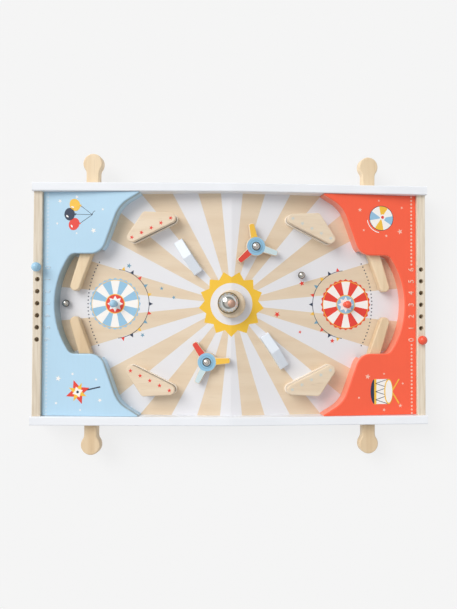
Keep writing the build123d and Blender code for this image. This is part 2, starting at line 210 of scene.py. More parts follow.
class Tree:
    """A node tree that is filled node by node."""

    def __init__(self, tree: bpy.types.NodeTree) -> None:
        """Keep the tree."""
        self.tree = tree

    def node(
        self,
        kind: str,
        settings: Optional[dict] = None,
        inputs: Optional[dict] = None,
        output: Union[int, str, tuple[str, ...], None] = 0,
    ) -> Union[Socket, tuple[Socket, ...], None]:
        """Add any node.

        Args:
            kind: Type name of the node.
            settings: Properties that are set first.
            inputs: Value or link of each named or numbered input.
            output: Name or number of the wanted output, several names, or nothing.

        Returns:
            That output or those outputs, if any are wanted.
        """
        node = self.tree.nodes.new(kind)
        for key, value in (settings or {}).items():
            setattr(node, key, value)
        for key, value in (inputs or {}).items():
            self.set(node.inputs[key], value)
        if isinstance(output, tuple):
            return tuple(Socket(self, node.outputs[name]) for name in output)
        return None if output is None else Socket(self, node.outputs[output])

    def set(self, place: bpy.types.NodeSocket, value: Given) -> None:
        """Link a socket to an input, or set the input's own value.

        Args:
            place: The input.
            value: Socket, number, vector or colour.
        """
        if isinstance(value, Socket):
            self.tree.links.new(value.output, place)
        elif isinstance(value, (int, float)):
            place.default_value = value
        else:
            size = len(place.default_value)
            place.default_value = (*value, 1.0)[:size] if size > len(value) else tuple(value)

    def axes(self, vector: Socket) -> tuple[Socket, Socket, Socket]:
        """Split a vector into its three parts."""
        return self.node("ShaderNodeSeparateXYZ", inputs={0: vector}, output=("X", "Y", "Z"))

    def ramp(self, value: Socket, low: float, high: float) -> Socket:
        """Stretch a range of a value to zero and one, smoothly.

        Args:
            value: What is stretched.
            low: Becomes zero.
            high: Becomes one.

        Returns:
            The clamped result.
        """
        settings = {"interpolation_type": "SMOOTHSTEP"}
        inputs = {"Value": value, "From Min": low, "From Max": high}
        return self.node("ShaderNodeMapRange", settings, inputs)

    def mix(self, share: Amount, first: Given, second: Given) -> Socket:
        """Mix two colours.

        Args:
            share: How much of the second colour.
            first: First colour.
            second: Second colour.

        Returns:
            The mixed colour.
        """
        colours = {0: share, 6: first, 7: second}
        return self.node("ShaderNodeMix", {"data_type": "RGBA"}, colours, 2)

    def seen(self) -> Socket:
        """Mask of what the eye sees directly, in polished metal or through glass.

        Returns:
            One there, else zero.
        """
        ways = ("Is Camera Ray", "Is Glossy Ray", "Is Transmission Ray")
        eye, gloss, through = self.node("ShaderNodeLightPath", output=ways)
        return eye.at_least(gloss).at_least(through)


class Recipe(Tree):
    """The node tree of one material."""

    def __init__(self, name: str) -> None:
        """Start a material with its principled shader.

        Args:
            name: Name of the material.
        """
        self.material = bpy.data.materials.new(name)
        self.material.use_nodes = True
        super().__init__(self.material.node_tree)
        self.shader = self.tree.nodes["Principled BSDF"]

    def coords(self) -> Socket:
        """Place on the piece, in metres."""
        return self.node("ShaderNodeTexCoord", output="Object")

    def facing(self) -> Socket:
        """Upward part of the surface's own direction."""
        return self.axes(self.node("ShaderNodeTexCoord", output="Normal"))[2]

    def stretch(self, vector: Socket, grain: Grain) -> Socket:
        """Draw a pattern's coordinates out along a grain."""
        return self.node("ShaderNodeMapping", inputs={"Vector": vector, "Scale": grain.value})

    def polar(self, along: Socket, across: Socket) -> tuple[Socket, Socket]:
        """Angle and distance of a place from the middle.

        Args:
            along: First coordinate.
            across: Second coordinate.

        Returns:
            The angle as a share of a full turn, and the distance.
        """
        square = along * along + across * across
        return across.angle_over(along) / FULL_TURN, square.root()

    def noise(self, vector: Socket, pattern: Pattern, scale: Optional[float] = None) -> Socket:
        """Soft random pattern between zero and one.

        Args:
            vector: Coordinates in metres.
            pattern: Which pattern.
            scale: Cells in a metre, where they aren't the pattern's own.

        Returns:
            The pattern.
        """
        cells, detail, rough = pattern.value
        inputs = {"Vector": vector, "Scale": scale or cells, "Detail": detail, "Roughness": rough}
        return self.node("ShaderNodeTexNoise", inputs=inputs)

    def bump(self, height: Socket, depth: float, strength: float) -> Socket:
        """Turn a height pattern into a normal.

        Args:
            height: Pattern between zero and one.
            depth: Relief in millimetres.
            strength: Share of the effect.

        Returns:
            The bent normal.
        """
        inputs = {"Height": height, "Distance": depth * MM, "Strength": strength}
        return self.node("ShaderNodeBump", inputs=inputs)

    def done(self, **values: Given) -> bpy.types.Material:
        """Set the principled shader's inputs.

        Args:
            values: Input names, with underscores for blanks, and what they get.

        Returns:
            The finished material.
        """
        for key, value in values.items():
            self.set(self.shader.inputs[key.replace("_", " ")], value)
        return self.material


@dataclass(frozen=True)
class Finish:
    """A finish that makes its material once."""

    name: str
    made: ClassVar[dict[str, bpy.types.Material]] = {}

    def brew(self) -> bpy.types.Material:
        """Make the material."""
        raise NotImplementedError

    def material(self) -> bpy.types.Material:
        """Make the material on first use and keep it.

        Returns:
            The material.
        """
        if self.name not in Finish.made:
            Finish.made[self.name] = self.brew()
        return Finish.made[self.name]


def wood_grain(
    recipe: Recipe,
    grain: Grain,
    pale: Colour,
    dark: Colour,
    rings: float = RINGS,
    fleck: float = 0.30,
) -> tuple[Socket, Socket]:
    """Close-grained pale wood: soft growth bands, fine fibres and short flecks.

    Args:
        recipe: Material that gets the nodes.
        grain: Direction of the fibres.
        pale: Lightest colour.
        dark: Colour of the bands.
        rings: Growth bands in a metre.
        fleck: Strength of the flecks.

    Returns:
        The colour, and a height pattern for the fibres.
    """
    band_share, fibre_share, cloud_share, pale_shift = 0.42, 0.30, 0.22, 0.12
    fleck_shade, fleck_height = 0.80, 0.5
    spot = recipe.stretch(recipe.coords(), grain)
    bands = recipe.ramp(recipe.noise(spot, Pattern.WOOD_BANDS, rings), 0.32, 0.72)
    fibres = recipe.noise(spot, Pattern.WOOD_FIBRES)
    flecks = recipe.ramp(recipe.noise(spot, Pattern.WOOD_FLECKS), 0.60, 0.72)
    cloud = recipe.noise(recipe.coords(), Pattern.WOOD_CLOUD)
    share = bands * band_share + fibres * fibre_share + cloud * cloud_share - pale_shift
    colour = recipe.mix(share, pale, dark)
    colour = recipe.mix(flecks * fleck, colour, shaded(dark, fleck_shade))
    return colour, fibres + flecks * fleck_height


@dataclass(frozen=True)
class Wood(Finish):
    """Sanded wood with a clear satin lacquer."""

    pale: Colour
    dark: Colour
    grain: Grain = Grain.ACROSS
    roughness: float = 0.44
    relief: float = 0.05
    rings: float = RINGS

    def tint(self, recipe: Recipe, colour: Socket) -> Socket:
        """Leave the wood's colour as it is."""
        return colour

    def brew(self) -> bpy.types.Material:
        """Grain in colour, gloss and relief.

        Returns:
            The material.
        """
        recipe = Recipe(self.name)
        colour, height = wood_grain(recipe, self.grain, self.pale, self.dark, self.rings)
        gloss = height * 0.14 + (self.roughness - 0.08)
        relief = recipe.bump(height, self.relief, strength=0.6)
        return recipe.done(Base_Color=self.tint(recipe, colour), Roughness=gloss, Normal=relief)


@dataclass(frozen=True)
class LippedWood(Wood):
    """Base plate of a bumper: pale at its lip, with painted shade on its upper face under the plates
    above.
    """

    rows: tuple[Sequence[float], ...] = ()
    corners: tuple[Place, Place, Place] = ((-32.75, 0.0), (32.75, 0.0), (0.25, 19.65))
    reach: float = 7.1
    # Painted shade: how much and how dark the upper face gets under the plates above.
    stain: float = 0.88
    stain_shade: float = 0.22

    def apart(self, along: Socket, across: Socket, start: Place, end: Place) -> Socket:
        """Squared distance of a place from a line between two corners.

        Args:
            along: First coordinate of the place, in metres.
            across: Second coordinate.
            start: First corner, in millimetres.
            end: Last corner.

        Returns:
            The square of the distance.
        """
        run, rise = ((last - first) * MM for first, last in zip(start, end))
        from_along, from_across = along - start[0] * MM, across - start[1] * MM
        share = (from_along * run + from_across * rise) / (run * run + rise * rise)
        share = share.at_most(1.0).at_least(0.0)
        off_along, off_across = from_along - share * run, from_across - share * rise
        return off_along * off_along + off_across * off_across

    def tint(self, recipe: Recipe, colour: Socket) -> Socket:
        """Paint shade on the upper face as far as the lip, where the plates above shade it.

        Args:
            recipe: Material that gets the nodes.
            colour: Colour of the wood.

        Returns:
            The colour with its painted shade.
        """
        spot = recipe.axes(recipe.coords())
        place = [sum((axis * part for axis, part in zip(spot, row)), row[3]) for row in self.rows]
        first, second, last = self.corners
        nearest = self.apart(*place, first, second)
        nearest = nearest.at_most(self.apart(*place, second, last))
        nearest = nearest.at_most(self.apart(*place, last, first))
        # Painted shade where the top plate overhangs: upward faces within reach of the outline.
        under = (nearest < (self.reach * MM) ** 2) * (recipe.facing() > LEVEL)
        return recipe.mix(under * self.stain, colour, shaded(self.dark, self.stain_shade))


@dataclass(frozen=True)
class Paint(Finish):
    """Sprayed satin paint with a faint orange peel and the wood just showing through."""

    colour: Colour
    roughness: float
    grain: Grain = Grain.ALONG
    # Colour of upright faces, where given: painted light where it is paler than the top, painted shade
    # where it is darker.
    side: Optional[Colour] = None
    thin: float = 0.93
    side_thin: float = 0.90

    def brew(self) -> bpy.types.Material:
        """Colour with slight clouding, gloss and peel; the sides may have a colour of painted light or
        painted shade.

        Returns:
            The material.
        """
        recipe = Recipe(self.name)
        spot = recipe.coords()
        cloud = recipe.noise(spot, Pattern.PAINT_CLOUD)
        fibres = recipe.noise(recipe.stretch(spot, self.grain), Pattern.PAINT_FIBRES)
        peel = recipe.noise(spot, Pattern.PAINT_PEEL)
        share = recipe.ramp(cloud, 0.30, 0.75) * 0.55 + recipe.ramp(fibres, 0.45, 0.8) * 0.25
        colour = recipe.mix(share, self.colour, shaded(self.colour, self.thin))
        # Painted light or shade on the upright faces.
        if self.side is not None:
            edge = 1.0 - recipe.ramp(abs(recipe.facing()), 0.40, 0.60)
            side = recipe.mix(fibres, self.side, shaded(self.side, self.side_thin))
            colour = recipe.mix(edge, colour, side)
        gloss = peel * 0.10 + cloud * 0.10 + (self.roughness - 0.10)
        relief = recipe.bump(peel * 0.6 + fibres * 0.7, depth=0.03, strength=0.55)
        return recipe.done(Base_Color=colour, Roughness=gloss, Normal=relief)


@dataclass(frozen=True)
class Ink(Finish):
    """Screen-printed ink, with a fine mottle."""

    colour: Colour
    roughness: float = 0.42
    thin: float = 0.88

    def brew(self) -> bpy.types.Material:
        """Ink with a little speckle.

        Returns:
            The material.
        """
        recipe = Recipe(self.name)
        spot = recipe.coords()
        speckle = recipe.noise(spot, Pattern.INK_SPECKLE)
        cloud = recipe.noise(spot, Pattern.SKIN_CLOUD)
        share = recipe.ramp(speckle, 0.45, 0.75) * 0.30 + cloud * 0.20
        colour = recipe.mix(share, self.colour, shaded(self.colour, self.thin))
        gloss = speckle * 0.12 + (self.roughness - 0.06)
        relief = recipe.bump(speckle, depth=0.01, strength=0.4)
        return recipe.done(Base_Color=colour, Roughness=gloss, Normal=relief)


@dataclass(frozen=True)
class Metal(Finish):
    """Polished or brushed metal with faint smudges and hair scratches."""

    colour: Colour
    roughness: float
    scratch: Grain = Grain.ALONG
    # Painted reflection: share, slopes and darkness of a dark reflection painted where the edge turns
    # down.
    rim: float = 0.0
    rim_slopes: Place = (0.36, 0.60)
    rim_shade: float = 0.05
    smudge_shade: float = 0.90

    def brew(self) -> bpy.types.Material:
        """Metal with varied gloss and a painted dark reflection where its edge turns down.

        Returns:
            The material.
        """
        recipe = Recipe(self.name)
        spot = recipe.coords()
        smudge = recipe.ramp(recipe.noise(spot, Pattern.METAL_SMUDGE), 0.40, 0.75)
        hair = recipe.noise(recipe.stretch(spot, self.scratch), Pattern.METAL_HAIR)
        gloss = smudge * 0.07 + hair * 0.05 + self.roughness
        colour = recipe.mix(smudge * 0.5, self.colour, shaded(self.colour, self.smudge_shade))
        # Painted dark reflection on the steep faces of the edge.
        flat = recipe.ramp(abs(recipe.facing()), *self.rim_slopes)
        colour = recipe.mix((1.0 - flat) * self.rim, colour, shaded(self.colour, self.rim_shade))
        relief = recipe.bump(hair, depth=0.004, strength=0.3)
        return recipe.done(Base_Color=colour, Roughness=gloss, Normal=relief, Metallic=1.0)


@dataclass(frozen=True)
class Rubber(Finish):
    """Soft rubber or nylon with a dull skin."""

    colour: Colour
    roughness: float = 0.62
    stale: float = 0.85

    def brew(self) -> bpy.types.Material:
        """Dull skin with a fine pebble.

        Returns:
            The material.
        """
        recipe = Recipe(self.name)
        spot = recipe.coords()
        pebble = recipe.noise(spot, Pattern.RUBBER_PEBBLE)
        cloud = recipe.noise(spot, Pattern.SKIN_CLOUD)
        colour = recipe.mix(cloud * 0.5, self.colour, shaded(self.colour, self.stale))
        gloss = pebble * 0.15 + (self.roughness - 0.08)
        relief = recipe.bump(pebble, depth=0.03, strength=0.6)
        return recipe.done(Base_Color=colour, Roughness=gloss, Normal=relief)


@dataclass(frozen=True)
class Elastic(Finish):
    """Woven elastic band: rubber cords covered by cross threads."""

    colour: Colour
    cords: float = 900.0
    threads: float = 1300.0
    slant: float = 0.7
    gap_shade: float = 0.78

    def brew(self) -> bpy.types.Material:
        """Ribs along the band, with threads across them.

        Returns:
            The material.
        """
        recipe = Recipe(self.name)
        spot = recipe.coords()
        along, across, up = recipe.axes(spot)
        ribs = abs((up * (self.cords * math.pi)).sine())
        weave = abs(((along + across * self.slant) * (self.threads * math.pi)).sine())
        height = ribs * 0.6 + weave * 0.4
        fuzz = recipe.noise(spot, Pattern.BAND_FUZZ)
        share = height * 0.8 + fuzz * 0.2
        # Painted shade: the colour darkens in the gaps between the ribs.
        colour = recipe.mix(share, shaded(self.colour, self.gap_shade), self.colour)
        relief = recipe.bump(height, depth=0.12, strength=0.8)
        return recipe.done(Base_Color=colour, Roughness=fuzz * 0.12 + 0.68, Normal=relief)


@dataclass(frozen=True)
class SunBoard(Finish):
    """Pale plywood board printed with rays, a sun and a white disc around the bell."""

    wood: Colour
    dark: Colour
    white: Colour
    sun: Colour
    rings: float = 60.0
    fleck: float = 0.14
    rays: int = 16
    disc: float = 32.0
    tips: float = 50.0
    valleys: float = 41.0
    points: int = 13
    first_tip: float = 0.25
    level: float = 0.8

    def ray_mask(self, angle: Socket) -> Socket:
        """One on the white rays, which fill half of each period, else zero."""
        return abs((angle * self.rays + (self.rays + 0.5)).part() - 0.5) < 0.25

    def sun_edge(self, angle: Socket) -> Socket:
        """Distance of the sun's jagged edge from the middle.

        Args:
            angle: Angle as a share of a full turn.

        Returns:
            The distance in metres.
        """
        sector = math.pi / self.points
        tip, valley = self.tips * MM, self.valleys * MM
        from_valley = abs(((angle + (1.0 + self.first_tip)) * self.points).part() - 0.5)
        bend = (0.5 - from_valley) * (2 * sector)
        rise = valley * math.sin(sector)
        run = valley * math.cos(sector) - tip
        return (tip * rise) / (bend.cosine() * rise - bend.sine() * run)

    def brew(self) -> bpy.types.Material:
        """Wood all round, print on the upper face only.

        Returns:
            The material.
        """
        recipe = Recipe(self.name)
        grain, height = wood_grain(
            recipe, Grain.ALONG, self.wood, self.dark, self.rings, self.fleck
        )
        spot = recipe.coords()
        along, across, _ = recipe.axes(spot)
        angle, radius = recipe.polar(along, across)
        speckle = recipe.noise(spot, Pattern.BOARD_SPECKLE)
        cloud = recipe.noise(spot, Pattern.BOARD_CLOUD)
        share = speckle * 0.25 + cloud * 0.35
        white = recipe.mix(share, self.white, shaded(self.white, 0.92))
        yellow = recipe.mix(cloud, self.sun, shaded(self.sun, 0.90))
        colour = recipe.mix(self.ray_mask(angle), grain, white)
        colour = recipe.mix(radius < self.sun_edge(angle), colour, yellow)
        colour = recipe.mix(radius < self.disc * MM, colour, white)
        colour = recipe.mix(recipe.facing() > self.level, grain, colour)
        relief = recipe.bump(height * 0.6 + speckle * 0.4, depth=0.03, strength=0.5)
        gloss = speckle * 0.10 + height * 0.06 + 0.36
        return recipe.done(Base_Color=colour, Roughness=gloss, Normal=relief)


@dataclass(frozen=True)
class BladePaint(Finish):
    """Plywood rotor: a painted hub and one colour on each of its blades."""

    hub_place: Place
    start: float
    hub: Colour = tone(146, 196, 226)
    blades: tuple[Colour, Colour, Colour] = (
        tone(247, 196, 66),
        tone(226, 66, 48),
        tone(206, 226, 230),
    )
    wood: Colour = tone(246, 232, 208)
    dark: Colour = tone(222, 194, 158)
    dust: Colour = (0.25, 0.25, 0.25)
    hub_radius: float = 13.8
    ring_radius: float = 9.4
    ring_core: float = 0.3
    ring_edge: float = 1.0
    ring_shade: float = 0.62
    ply: float = 2.0

    def brew(self) -> bpy.types.Material:
        """Paint on the upper face, plywood layers on the edges.

        Returns:
            The material.
        """
        recipe = Recipe(self.name)
        spot = recipe.coords()
        along, across, up = recipe.axes(spot)
        along = along - self.hub_place[0] * MM
        across = across - self.hub_place[1] * MM
        angle, radius = recipe.polar(along, across)
        # Two whole turns keep the sum above zero, and a sixth centres a blade on its third.
        third = (angle + (2.0 - self.start / 360 + 1 / 6)).part() * 3
        grain, height = wood_grain(recipe, Grain.ALONG, self.wood, self.dark)
        plies = recipe.ramp(abs((up * (math.pi / (self.ply * MM))).sine()), 0.55, 0.75)
        side = recipe.mix(plies * 0.35, grain, shaded(self.dark, 0.8))
        first, second, last = self.blades
        paint = recipe.mix(third > 1.0, first, second)
        paint = recipe.mix(third > 2.0, paint, last)
        paint = recipe.mix(radius < self.hub_radius * MM, paint, self.hub)
        off_ring = abs(radius - self.ring_radius * MM)
        ring = 1.0 - recipe.ramp(off_ring, self.ring_core * MM, self.ring_edge * MM)
        paint = recipe.mix(ring * 0.55, paint, shaded(self.hub, self.ring_shade))
        cloud = recipe.noise(spot, Pattern.BLADE_CLOUD)
        paint = recipe.mix(cloud * 0.12, paint, self.dust)
        colour = recipe.mix(recipe.facing() > LEVEL, side, paint)
        relief = recipe.bump(height, depth=0.03, strength=0.5)
        return recipe.done(Base_Color=colour, Roughness=cloud * 0.14 + 0.32, Normal=relief)


RAIL_WHITE = Paint("rail_white", tone(240, 243, 248), 0.40)
BLOCK_WHITE = Paint("block_white", tone(226, 233, 242), 0.40, Grain.ACROSS)
# The deck paints' last colour is for their sides: painted light on the coral decks, painted shade on
# the sky decks.
DECK_CORAL = Paint("deck_coral", tone(252, 99, 67), 0.42, Grain.ACROSS, tone(255, 152, 126))
DECK_SKY = Paint("deck_sky", tone(184, 218, 240), 0.42, Grain.ACROSS, tone(172, 194, 204))
# A paler copy of the sky paint: painted light on the spacers' sides, which stand in shade.
SPACER_SKY_PAINTED_LIGHT = Paint("spacer_sky_painted_light", tone(196, 227, 248), 0.42, Grain.ACROSS)
TURNED_CORAL = Paint("turned_coral", tone(238, 92, 66), 0.26, Grain.UPRIGHT)
TURNED_SKY = Paint("turned_sky", tone(164, 206, 232), 0.26, Grain.UPRIGHT)
LEVER_BEECH = Wood("lever_beech", tone(238, 217, 184), tone(218, 188, 148))
# A darker copy of the lever beech: painted shade for the front levers, which get less light.
LEVER_BEECH_PAINTED_SHADE = Wood("lever_beech_painted_shade", tone(229, 206, 172), tone(208, 177, 136))
WALL_BEECH = Wood("wall_beech", tone(234, 223, 205), tone(196, 178, 152), rings=330.0)
TOP_BEECH = Wood("top_beech", tone(235, 218, 194), tone(220, 196, 166), Grain.ALONG)
DRUM_BEECH = Wood("drum_beech", tone(236, 219, 192), tone(206, 178, 142), Grain.UPRIGHT)
RAW_BEECH = Wood("raw_beech", tone(228, 203, 166), tone(196, 162, 118), Grain.ACROSS, 0.62, 0.09)
# CHROME, GONG_CHROME and BALL_STEEL end with the share and slopes of a painted dark reflection at
# their edges.
CHROME = Metal("bright_chrome", (0.74, 0.74, 0.73), 0.05, Grain.ALONG, 0.80, (0.55, 0.86))
GONG_CHROME = Metal("gong_chrome", (0.66, 0.67, 0.65), 0.08, Grain.ALONG, 0.92, (0.36, 0.58))
RIVET_COPPER = Metal("rivet_copper", (0.52, 0.35, 0.28), 0.50)
BALL_STEEL = Metal("ball_steel", (0.62, 0.62, 0.60), 0.06, Grain.ALONG, 0.85, (0.40, 0.82))
ZINC = Metal("zinc_steel", (0.60, 0.60, 0.59), 0.24, Grain.UPRIGHT)
FOOT_RUBBER = Rubber("foot_rubber", tone(212, 210, 204))
NYLON = Rubber("nylon", tone(236, 234, 228), 0.45)
BAND_ELASTIC = Elastic("band_elastic", tone(244, 239, 228))
BOARD = SunBoard(
    "sun_board", tone(229, 211, 186), tone(216, 192, 162), tone(231, 231, 235), tone(246, 198, 56)
)
INK_WHITE = Ink("ink_white", tone(250, 246, 242))
INK_CORAL = Ink("ink_coral", tone(232, 66, 52))
INK_NAVY = Ink("ink_navy", tone(38, 52, 78))
INK_YELLOW = Ink("ink_yellow", tone(247, 196, 66))
INK_SKY = Ink("ink_sky", tone(150, 196, 226))
INK_PALE = Ink("ink_pale", tone(203, 223, 238))
INK_MIST = Ink("ink_mist", tone(210, 212, 206))
INK_GREY_BLUE = Ink("ink_grey_blue", tone(112, 160, 184))
INK_BLUSH = Ink("ink_blush", tone(250, 196, 176))


class Bench:
    """Operator calls that first make sure only the wanted mesh is selected."""

    merge_distance = 1e-7

    @staticmethod
    def clear() -> None:
        """Leave edit mode and deselect everything."""
        if bpy.context.object and bpy.context.object.mode != "OBJECT":
            bpy.ops.object.mode_set(mode="OBJECT")
        bpy.ops.object.select_all(action="DESELECT")

    @staticmethod
    def only(piece: bpy.types.Object) -> None:
        """Make one object the only selected and active one.

        Args:
            piece: The object.
        """
        Bench.clear()
        piece.select_set(True)
        bpy.context.view_layer.objects.active = piece

    @staticmethod
    def settle(piece: bpy.types.Object) -> None:
        """Put an object's place, turn and scale into its mesh."""
        Bench.only(piece)
        bpy.ops.object.transform_apply(location=True, rotation=True, scale=True)

    @staticmethod
    @contextmanager
    def editing(piece: bpy.types.Object, corners: Optional[Sequence[int]] = None) -> Iterator[None]:
        """Edit a mesh with all of it selected, or only some corners.

        Args:
            piece: Object whose mesh is edited.
            corners: Numbers of the corners, where not all are wanted.

        Yields:
            Nothing, while the mesh is in edit mode.
        """
        Bench.only(piece)
        bpy.ops.object.mode_set(mode="EDIT")
        bpy.ops.mesh.select_mode(type="VERT")
        bpy.ops.mesh.select_all(action="SELECT" if corners is None else "DESELECT")
        if corners is not None:
            bpy.ops.object.mode_set(mode="OBJECT")
            for number in corners:
                piece.data.vertices[number].select = True
            bpy.ops.object.mode_set(mode="EDIT")
        yield
        bpy.ops.object.mode_set(mode="OBJECT")

    @staticmethod
    def move(piece: bpy.types.Object, matrix: Matrix) -> None:
        """Move a mesh by a matrix and leave its object at the origin.

        Args:
            piece: The object.
            matrix: Where it goes.
        """
        piece.matrix_world = matrix @ piece.matrix_world
        bpy.context.view_layer.update()
        Bench.settle(piece)

    @staticmethod
    def modify(piece: bpy.types.Object, kind: str, **settings: object) -> None:
        """Add a modifier and apply it.

        Args:
            piece: Object that gets it.
            kind: Type of the modifier.
            settings: Its properties.
        """
        Bench.only(piece)
        modifier = piece.modifiers.new(kind.lower(), kind)
        for key, value in settings.items():
            setattr(modifier, key, value)
        bpy.ops.object.modifier_apply(modifier=modifier.name)

    @staticmethod
    def join(pieces: Sequence[bpy.types.Object], name: str) -> bpy.types.Object:
        """Join meshes into one object.

        Args:
            pieces: What is joined.
            name: Name of the result.

        Returns:
            The joined object.
        """
        Bench.clear()
        for piece in pieces:
            piece.select_set(True)
        bpy.context.view_layer.objects.active = pieces[0]
        if len(pieces) > 1:
            bpy.ops.object.join()
        joined = bpy.context.view_layer.objects.active
        joined.name = name
        joined.data.name = name
        return joined

    @staticmethod
    def smooth(piece: bpy.types.Object, angle: float = 35.0) -> None:
        """Shade smooth up to an angle in degrees."""
        Bench.only(piece)
        bpy.ops.object.shade_smooth_by_angle(angle=math.radians(angle))

    @staticmethod
    def outward(piece: bpy.types.Object) -> None:
        """Merge doubles and turn all faces outwards.

        Args:
            piece: Object whose mesh is mended.
        """
        with Bench.editing(piece):
            bpy.ops.mesh.remove_doubles(threshold=Bench.merge_distance)
            bpy.ops.mesh.normals_make_consistent(inside=False)

    @staticmethod
    def copy(piece: bpy.types.Object, matrix: Matrix) -> bpy.types.Object:
        """Copy an object with its own mesh and move the copy.

        Args:
            piece: What is copied.
            matrix: Where the copy goes, from the original.

        Returns:
            The copy.
        """
        Bench.only(piece)
        bpy.ops.object.duplicate(linked=False)
        twin = bpy.context.view_layer.objects.active
        Bench.move(twin, matrix)
        return twin


def lathe(
    name: str, profile: Sequence[Place], finish: Finish, sides: int = 72
) -> bpy.types.Object:
    """Turn a profile about the upright axis, ring by ring.

    Args:
        name: Name of the piece.
        profile: Radius and height of each ring in millimetres; a last radius of zero is a pole.
        finish: Its material.
        sides: Corners of each ring.

    Returns:
        The turned piece.
    """
    Bench.clear()
    radius, height = profile[0]
    foot = (0, 0, height * MM)
    bpy.ops.mesh.primitive_circle_add(vertices=sides, radius=radius * MM, location=foot)
    piece = bpy.context.object
    Bench.settle(piece)
    with Bench.editing(piece):
        bpy.ops.mesh.select_mode(type="EDGE")
        bpy.ops.mesh.select_all(action="SELECT")
        bpy.ops.mesh.edge_face_add()
        for wide, high in profile[1:]:
            lift = {"value": (0, 0, (high - height) * MM)}
            bpy.ops.mesh.extrude_edges_move(TRANSFORM_OT_translate=lift)
            if wide == 0:
                bpy.ops.mesh.merge(type="CENTER")
            else:
                share = (wide / radius, wide / radius, 1)
                bpy.ops.transform.resize(value=share, center_override=(0, 0, high * MM))
                radius = wide
            height = high
        bpy.ops.mesh.select_mode(type="VERT")
    Bench.outward(piece)
    Bench.smooth(piece)
    piece.name = name
    piece.data.name = name
    piece.data.materials.append(finish.material())
    return piece


def around(centre: Place, radius: float, angle: float) -> Place:
    """Place at a distance and an angle in degrees from a centre."""
    turn = math.radians(angle)
    return centre[0] + radius * math.cos(turn), centre[1] + radius * math.sin(turn)


def arc(centre: Place, radius: float, start: float, end: float, steps: int) -> list[Place]:
    """Points of a profile's arc.

    Args:
        centre: Centre as radius and height.
        radius: Radius of the arc.
        start: First angle in degrees from the horizontal.
        end: Last angle.
        steps: Number of stretches.

    Returns:
        Radius and height of each point.
    """
    angles = (start + (end - start) * step / steps for step in range(steps + 1))
    return [around(centre, radius, angle) for angle in angles]


@dataclass(frozen=True)
class Turning:
    """Profile of a turned piece: a stem, then a round head that closes at its pole."""

    stem: tuple[Place, ...]
    centre: float
    radius: float
    start: float
    steps: int
    end: float = 86.0

    def profile(self) -> list[Place]:
        """Radius and height of each ring, from the foot to the pole."""
        head = arc((0.0, self.centre), self.radius, self.start, self.end, self.steps)
        return [*self.stem, *head, (0.0, self.centre + self.radius)]


POST_STEM = ((2.5, -4.0), (2.5, 0.0), (4.6, 0.0), (4.6, 0.7), (3.9, 1.5), (3.6, 4.0), (3.9, 6.4))
PEG_STEM = ((2.4, -13.0), (3.2, -12.2), (3.2, 0.0), (4.6, 0.0), (4.6, 1.4))
BOLT_STEM = ((2.1, -11.0), (2.5, -10.5), (2.5, 12.3), (6.2, 12.3), (6.6, 12.8))
POST = Turning(POST_STEM, 11.2, 5.8, -47, 22)
PEG = Turning(PEG_STEM, 6.876, 7.0, -48, 24)
BOLT = Turning(BOLT_STEM, 10.71, 6.79, 20, 18)


def adopt(piece: bpy.types.Object, body: str, slot: Slot, *nodes: str) -> None:
    """Hang a piece on its body, hide the CAD nodes that it replaces and log it.

    Args:
        piece: The finished piece.
        body: Body that carries it.
        slot: The record's material slot; not used.
        nodes: CAD nodes that it replaces.
    """
    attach(piece, body)
    if nodes:
        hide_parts(*nodes)
    LOG.info("%s rides on %s", piece.name, body)


def dress(finish: Finish, *nodes: str) -> None:
    """Give CAD nodes a finish.

    Args:
        finish: What they get.
        nodes: Names of the nodes.
    """
    for name in nodes:
        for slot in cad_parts[name].material_slots:
            slot.material = finish.material()
        LOG.info("%s is finished in %s", name, finish.name)


